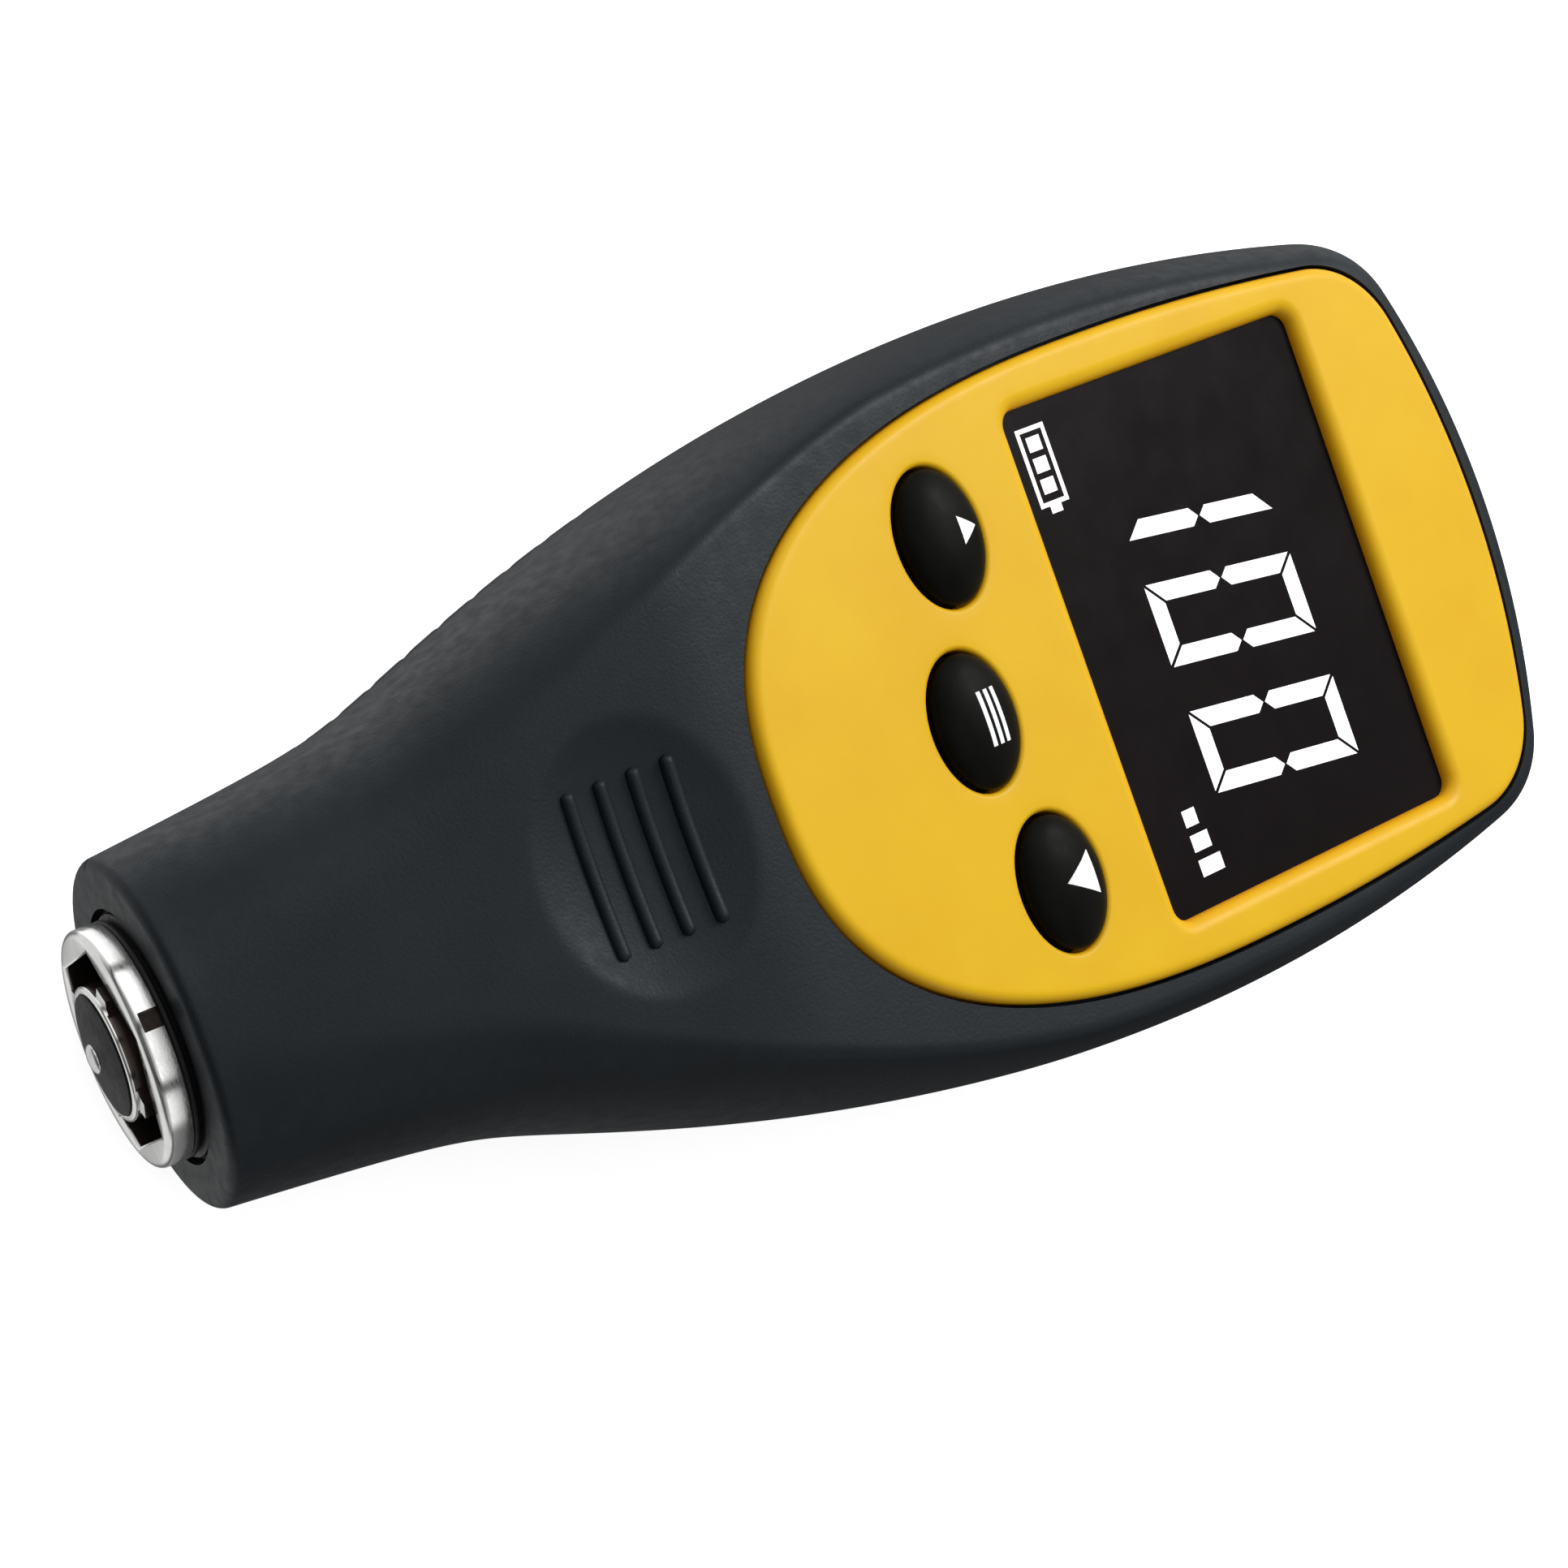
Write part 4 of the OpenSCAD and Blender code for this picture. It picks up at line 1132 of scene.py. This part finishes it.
def plate_plastic():
    """Yellow plastic with painted shade: a deeper orange where the edge attribute marks the rounded edges
    and walls.
    """
    look = Look("plate_plastic", Specular_IOR_Level=0.2)
    yellow = look.tones(9.0, 3, (211, 165, 11), (215, 171, 15))
    # Painted shade: the edge attribute mixes the yellow toward a deeper orange
    look.colour(look.mix(look.attribute("edge"), yellow, linear(222, 150, 14)))
    look.rough(look.spread(look.noise(1.4, 3), 0.36, 0.46))
    look.bump(look.noise(0.35, 2), 0.006)
    return look.material


def lit_mark():
    look = Look("lit_mark", Specular_IOR_Level=0.2, Emission_Strength=0.25)
    tone = look.tones(2.0, 2, (246, 246, 246), (255, 255, 255))
    look.colour(tone)
    look.link(tone, look.shader.inputs["Emission Color"])
    look.rough(look.spread(look.noise(0.8, 2), 0.4, 0.5))
    return look.material


def bright_metal():
    """Polished plating with painted shade: near black and less metallic where the face attribute dark marks
    hollows and gaps.
    """
    look = Look("bright_metal")
    dark = look.attribute("dark")
    plated = look.tones(1.6, 4, (214, 214, 212), (228, 228, 227))
    # Painted shade: marked faces take a near black brown in place of the plating
    look.colour(look.mix(dark, plated, linear(62, 54, 50)))
    look.link(look.ramp(dark, [(0.0, (1, 1, 1)), (1.0, (0.6, 0.6, 0.6))]), look.shader.inputs["Metallic"])
    look.rough(look.spread(look.noise(0.5, 4, 0.6, (1, 4, 1)), 0.12, 0.22))
    look.bump(look.noise(0.12, 3), 0.002)
    return look.material


MATERIALS = {
    "case_plastic": surface("case_plastic", (6.0, 4, (18, 25, 30), (22, 29, 34)), (1.1, 3, 0.44, 0.56),
                            (0.24, 2, 0.6, 0.025), Specular_IOR_Level=0.2),
    "plate_plastic": plate_plastic(),
    "lens_plastic": surface("lens_plastic", (12.0, 2, (15, 10, 11), (18, 13, 14)), (3.0, 3, 0.22, 0.3),
                            Specular_IOR_Level=0.06),
    "panel_glass": surface("panel_glass", (10.0, 2, (20, 20, 24), (28, 28, 33)), (2.0, 2, 0.08, 0.16),
                           Specular_IOR_Level=0.5),
    "white_plastic": dull("white_plastic", (222, 221, 214), (236, 235, 230), 0.5, 0.4, 0.01),
    "black_plastic": dull("black_plastic", (14, 14, 15), (21, 21, 22), 0.5, 0.3, 0.012, 0.15),
    "key_rubber": surface("key_rubber", (3.0, 3, (9, 9, 7), (14, 14, 12)), (0.9, 3, 0.4, 0.5),
                          (0.22, 2, 0.008), Specular_IOR_Level=0.05),
    "seal_rubber": dull("seal_rubber", (14, 14, 15), (22, 22, 23), 0.55, 0.25, 0.012),
    "contact_metal": metal("contact_metal", (184, 180, 168), (208, 204, 194), 0.3, (1, 1, 6)),
    "board": dull("board", (16, 72, 42), (24, 92, 55), 0.4, 0.5, 0.01),
    "bright_metal": bright_metal(),
    "tip_steel": surface("tip_steel", (0.6, 3, (196, 197, 198), (216, 216, 216)), (0.25, 4, 0.2, 0.34),
                         (0.08, 3, 0.002), Metallic=1.0),
    "winding": metal("winding", (166, 92, 42), (190, 112, 56), 0.35, (1, 12, 1)),
    "cell_jacket": dull("cell_jacket", (30, 84, 66), (40, 100, 80), 0.32, 0.6, 0.006, 0.5),
}
LIT_MARK = lit_mark()
SIGN_PAINT = surface("sign_paint", (0.6, 3, (226, 228, 230), (242, 243, 244)), (0.4, 2, 0.5, 0.62),
                     Specular_IOR_Level=0.3)


def dress(obj, material):
    obj.data.materials.clear()
    obj.data.materials.append(material)


def add_piece(obj, body, slot_name, *replaced, material=None):
    """Gives a piece its material and its body, and hides the nodes that it stands for."""
    dress(obj, material or MATERIALS[slot_name])
    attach(obj, body)
    if replaced:
        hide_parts(*replaced)


# Pieces that stand for a node
add_piece(front_case(), "gauge", "case_plastic", "front_case")
add_piece(rear_case(), "gauge", "case_plastic", "rear_case")
add_piece(battery_door(), "door", "case_plastic", "battery_door")
add_piece(faceplate(), "gauge", "plate_plastic", "faceplate")
add_piece(probe_ring(), "gauge", "bright_metal", "probe_ring")
add_piece(nose_seal(), "gauge", "seal_rubber", "nose_seal")
add_piece(probe_sleeve(), "probe", "bright_metal", "probe_sleeve")
add_piece(probe_core(), "probe", "black_plastic", "probe_core")
add_piece(probe_tip(), "probe", "tip_steel", "probe_tip")
add_piece(display_marks(), "gauge", "lens_plastic", material=LIT_MARK)
spring = probe_spring()
add_piece(spring, "gauge", "tip_steel", "probe_spring")
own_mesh(spring)

# Keys with their signs: a triangle up, three bars, a triangle down
SIGNS = {
    "up": [np.array([(-1.0, 0.7), (1.0, 0.7), (0.0, 2.25)])],
    "menu": [rect_line(-1.9, 1.9, -0.25 + 0.62 * i, 0.1 + 0.62 * i) for i in range(3)],
    "down": [np.array([(-1.55, 1.85), (0.0, -0.8), (1.55, 1.85)])],
}
for key, centre in KEYS.items():
    cap = key_cap(f"key_{key}_body", centre)
    add_piece(cap, f"key_{key}", "key_rubber", f"key_{key}_cap")
    sign = key_mark(f"key_{key}_sign", centre, SIGNS[key])
    add_piece(sign, f"key_{key}", "key_rubber", material=SIGN_PAINT)

for i, (x, s) in enumerate(post_places()):
    add_piece(screw(f"case_screw_{i + 1}", x, s), "gauge", "tip_steel")

# Nodes that stay: their own slot's material, joined points and sharp edges only where they turn
slots = {row["node"]: row["material_slot"] for row in frame["record"]["subparts"]}
for name, node in frame["nodes"].items():
    if node.hide_render:
        continue
    dress(node, MATERIALS[slots[name]])
    weld = node.modifiers.new("weld", "WELD")
    weld.merge_threshold = 1e-6
    split = node.modifiers.new("edges", "EDGE_SPLIT")
    split.split_angle = math.radians(35)


# Floor, light and camera
FLOOR_SIZE = 3.0
FLOOR_GAP = 0.0001
FLOOR_GLOW = 0.72
BACKDROP_SIDES = 96


def make_floor():
    """Pale floor and a round backdrop behind low views."""
    half = FLOOR_SIZE / 2 / MM
    points = with_z(rect_line(-half, half, -half, half), -FLOOR_GAP / MM)
    floor = make_object("floor", points, [(0, 1, 2, 3)])
    look = Look("floor_paint", Roughness=0.9, Specular_IOR_Level=0.1, Emission_Color=(1, 1, 1, 1),
                Emission_Strength=FLOOR_GLOW)
    look.colour(look.ramp(look.noise(60.0, 2), [(0.35, (0.9, 0.9, 0.9)), (0.7, (0.93, 0.93, 0.93))]))
    wall = circle_line(half, BACKDROP_SIDES)
    rows = np.vstack([with_z(wall, -FLOOR_GAP / MM), with_z(wall, half)])
    backdrop = make_object("backdrop", rows, ring_faces(2, BACKDROP_SIDES))
    backdrop.visible_shadow = False
    for obj in (floor, backdrop):
        dress(obj, look.material)
        obj.visible_diffuse = False
        obj.visible_glossy = False


def area_light(name, place_m, size, power, target=(0, 0, 0.01)):
    data = bpy.data.lights.new(name, "AREA")
    data.shape = "RECTANGLE"
    data.size, data.size_y = size
    data.energy = power
    light = bpy.data.objects.new(name, data)
    bpy.context.scene.collection.objects.link(light)
    light.location = place_m
    aim = Vector(target) - Vector(place_m)
    light.rotation_euler = aim.to_track_quat("-Z", "Y").to_euler()


# Long light panels round the Y axis: angle from straight up toward +X, and brightness there
PANELS = [(-180, 0.3), (-155, 0.4), (-148, 1.9), (-84, 2.0), (-80, 0.05), (-74, 0.05), (-70, 2.6),
          (-23, 2.6), (-21, 0.02), (-15, 0.02), (-13, 1.5), (36, 1.5), (39, 0.1), (47, 0.1), (51, 1.4),
          (80, 1.4), (92, 0.3), (180, 0.3)]
# Share of that light by the direction's Y part: a gap between the panels overhead and behind the head
ALONG = [(-1.0, 0.15), (-0.6, 0.2), (-0.25, 0.8), (0.0, 0.9), (0.08, 1.8), (0.17, 1.8), (0.24, 0.8),
         (0.3, 0.35), (0.5, 0.35), (0.65, 1.0), (1.0, 0.9)]
# Share of an even light from low in front of the probe, by the direction's Y part and Z part
FRONT = [(-1.0, 1.0), (-0.3, 1.0), (-0.12, 0.0), (1.0, 0.0)]
LOW = [(-1.0, 1.0), (-0.3, 1.0), (0.0, 0.0), (1.0, 0.0)]
FRONT_LEVEL = 1.6
WORLD_STRENGTH = 0.55
KEY_POWER = 3.4


def level_ramp(tree, value, low, high, stops):
    """Grey level along a value between low and high."""
    share = tree.nodes.new("ShaderNodeMapRange")
    share.inputs["From Min"].default_value = low
    share.inputs["From Max"].default_value = high
    tree.links.new(value, share.inputs["Value"])
    greys = [((at - low) / (high - low), (level, level, level)) for at, level in stops]
    return colour_ramp(tree, share.outputs["Result"], greys)


def math_node(tree, operation, *values):
    node = tree.nodes.new("ShaderNodeMath")
    node.operation = operation
    for value, socket in zip(values, node.inputs):
        tree.links.new(value, socket)
    return node.outputs["Value"]


def make_world():
    world = bpy.data.worlds.new("studio")
    bpy.context.scene.world = world
    world.use_nodes = True
    tree = world.node_tree
    coords = tree.nodes.new("ShaderNodeTexCoord")
    axes = tree.nodes.new("ShaderNodeSeparateXYZ")
    tree.links.new(coords.outputs["Generated"], axes.inputs["Vector"])
    x, y, z = axes.outputs
    degrees = math_node(tree, "DEGREES", math_node(tree, "ARCTAN2", x, z))
    product = tree.nodes.new("ShaderNodeVectorMath")
    product.operation = "MULTIPLY"
    tree.links.new(level_ramp(tree, degrees, -180, 180, PANELS), product.inputs[0])
    tree.links.new(level_ramp(tree, y, -1, 1, ALONG), product.inputs[1])
    both = tree.nodes.new("ShaderNodeMix")
    both.data_type = "RGBA"
    both.inputs["B"].default_value = (FRONT_LEVEL, FRONT_LEVEL, FRONT_LEVEL, 1)
    in_front = level_ramp(tree, y, -1, 1, FRONT)
    share = math_node(tree, "MULTIPLY", in_front, level_ramp(tree, z, -1, 1, LOW))
    tree.links.new(share, both.inputs["Factor"])
    tree.links.new(product.outputs["Vector"], both.inputs["A"])
    back = tree.nodes["Background"]
    back.inputs["Strength"].default_value = WORLD_STRENGTH
    tree.links.new(both.outputs["Result"], back.inputs["Color"])


def make_camera():
    """Camera fitted to the photograph: place against the display centre and its three axes."""
    right = Vector((0.33917896, 0.84862376, 0.40594993))
    down = Vector((0.93717023, -0.34228037, -0.06749891))
    forward = Vector((0.08166752, 0.4033384, -0.91139923))
    data = bpy.data.cameras.new("camera")
    data.lens = 83.851
    data.sensor_width = 36.0
    data.clip_start = 0.01
    camera = bpy.data.objects.new("camera", data)
    bpy.context.scene.collection.objects.link(camera)
    turn = Matrix((right, -down, -forward)).transposed().to_4x4()
    place_mm = Vector((-20.1347, Y_RING + DISP_S - 134.1103, DISP_Z + 218.9365))
    camera.matrix_world = Matrix.Translation(place_mm * MM) @ turn
    bpy.context.scene.camera = camera


make_floor()
make_world()
area_light("key_light", (-0.2, 0.45, 0.45), (0.3, 0.3), KEY_POWER)
make_camera()
bpy.context.scene.view_settings.view_transform = "Standard"
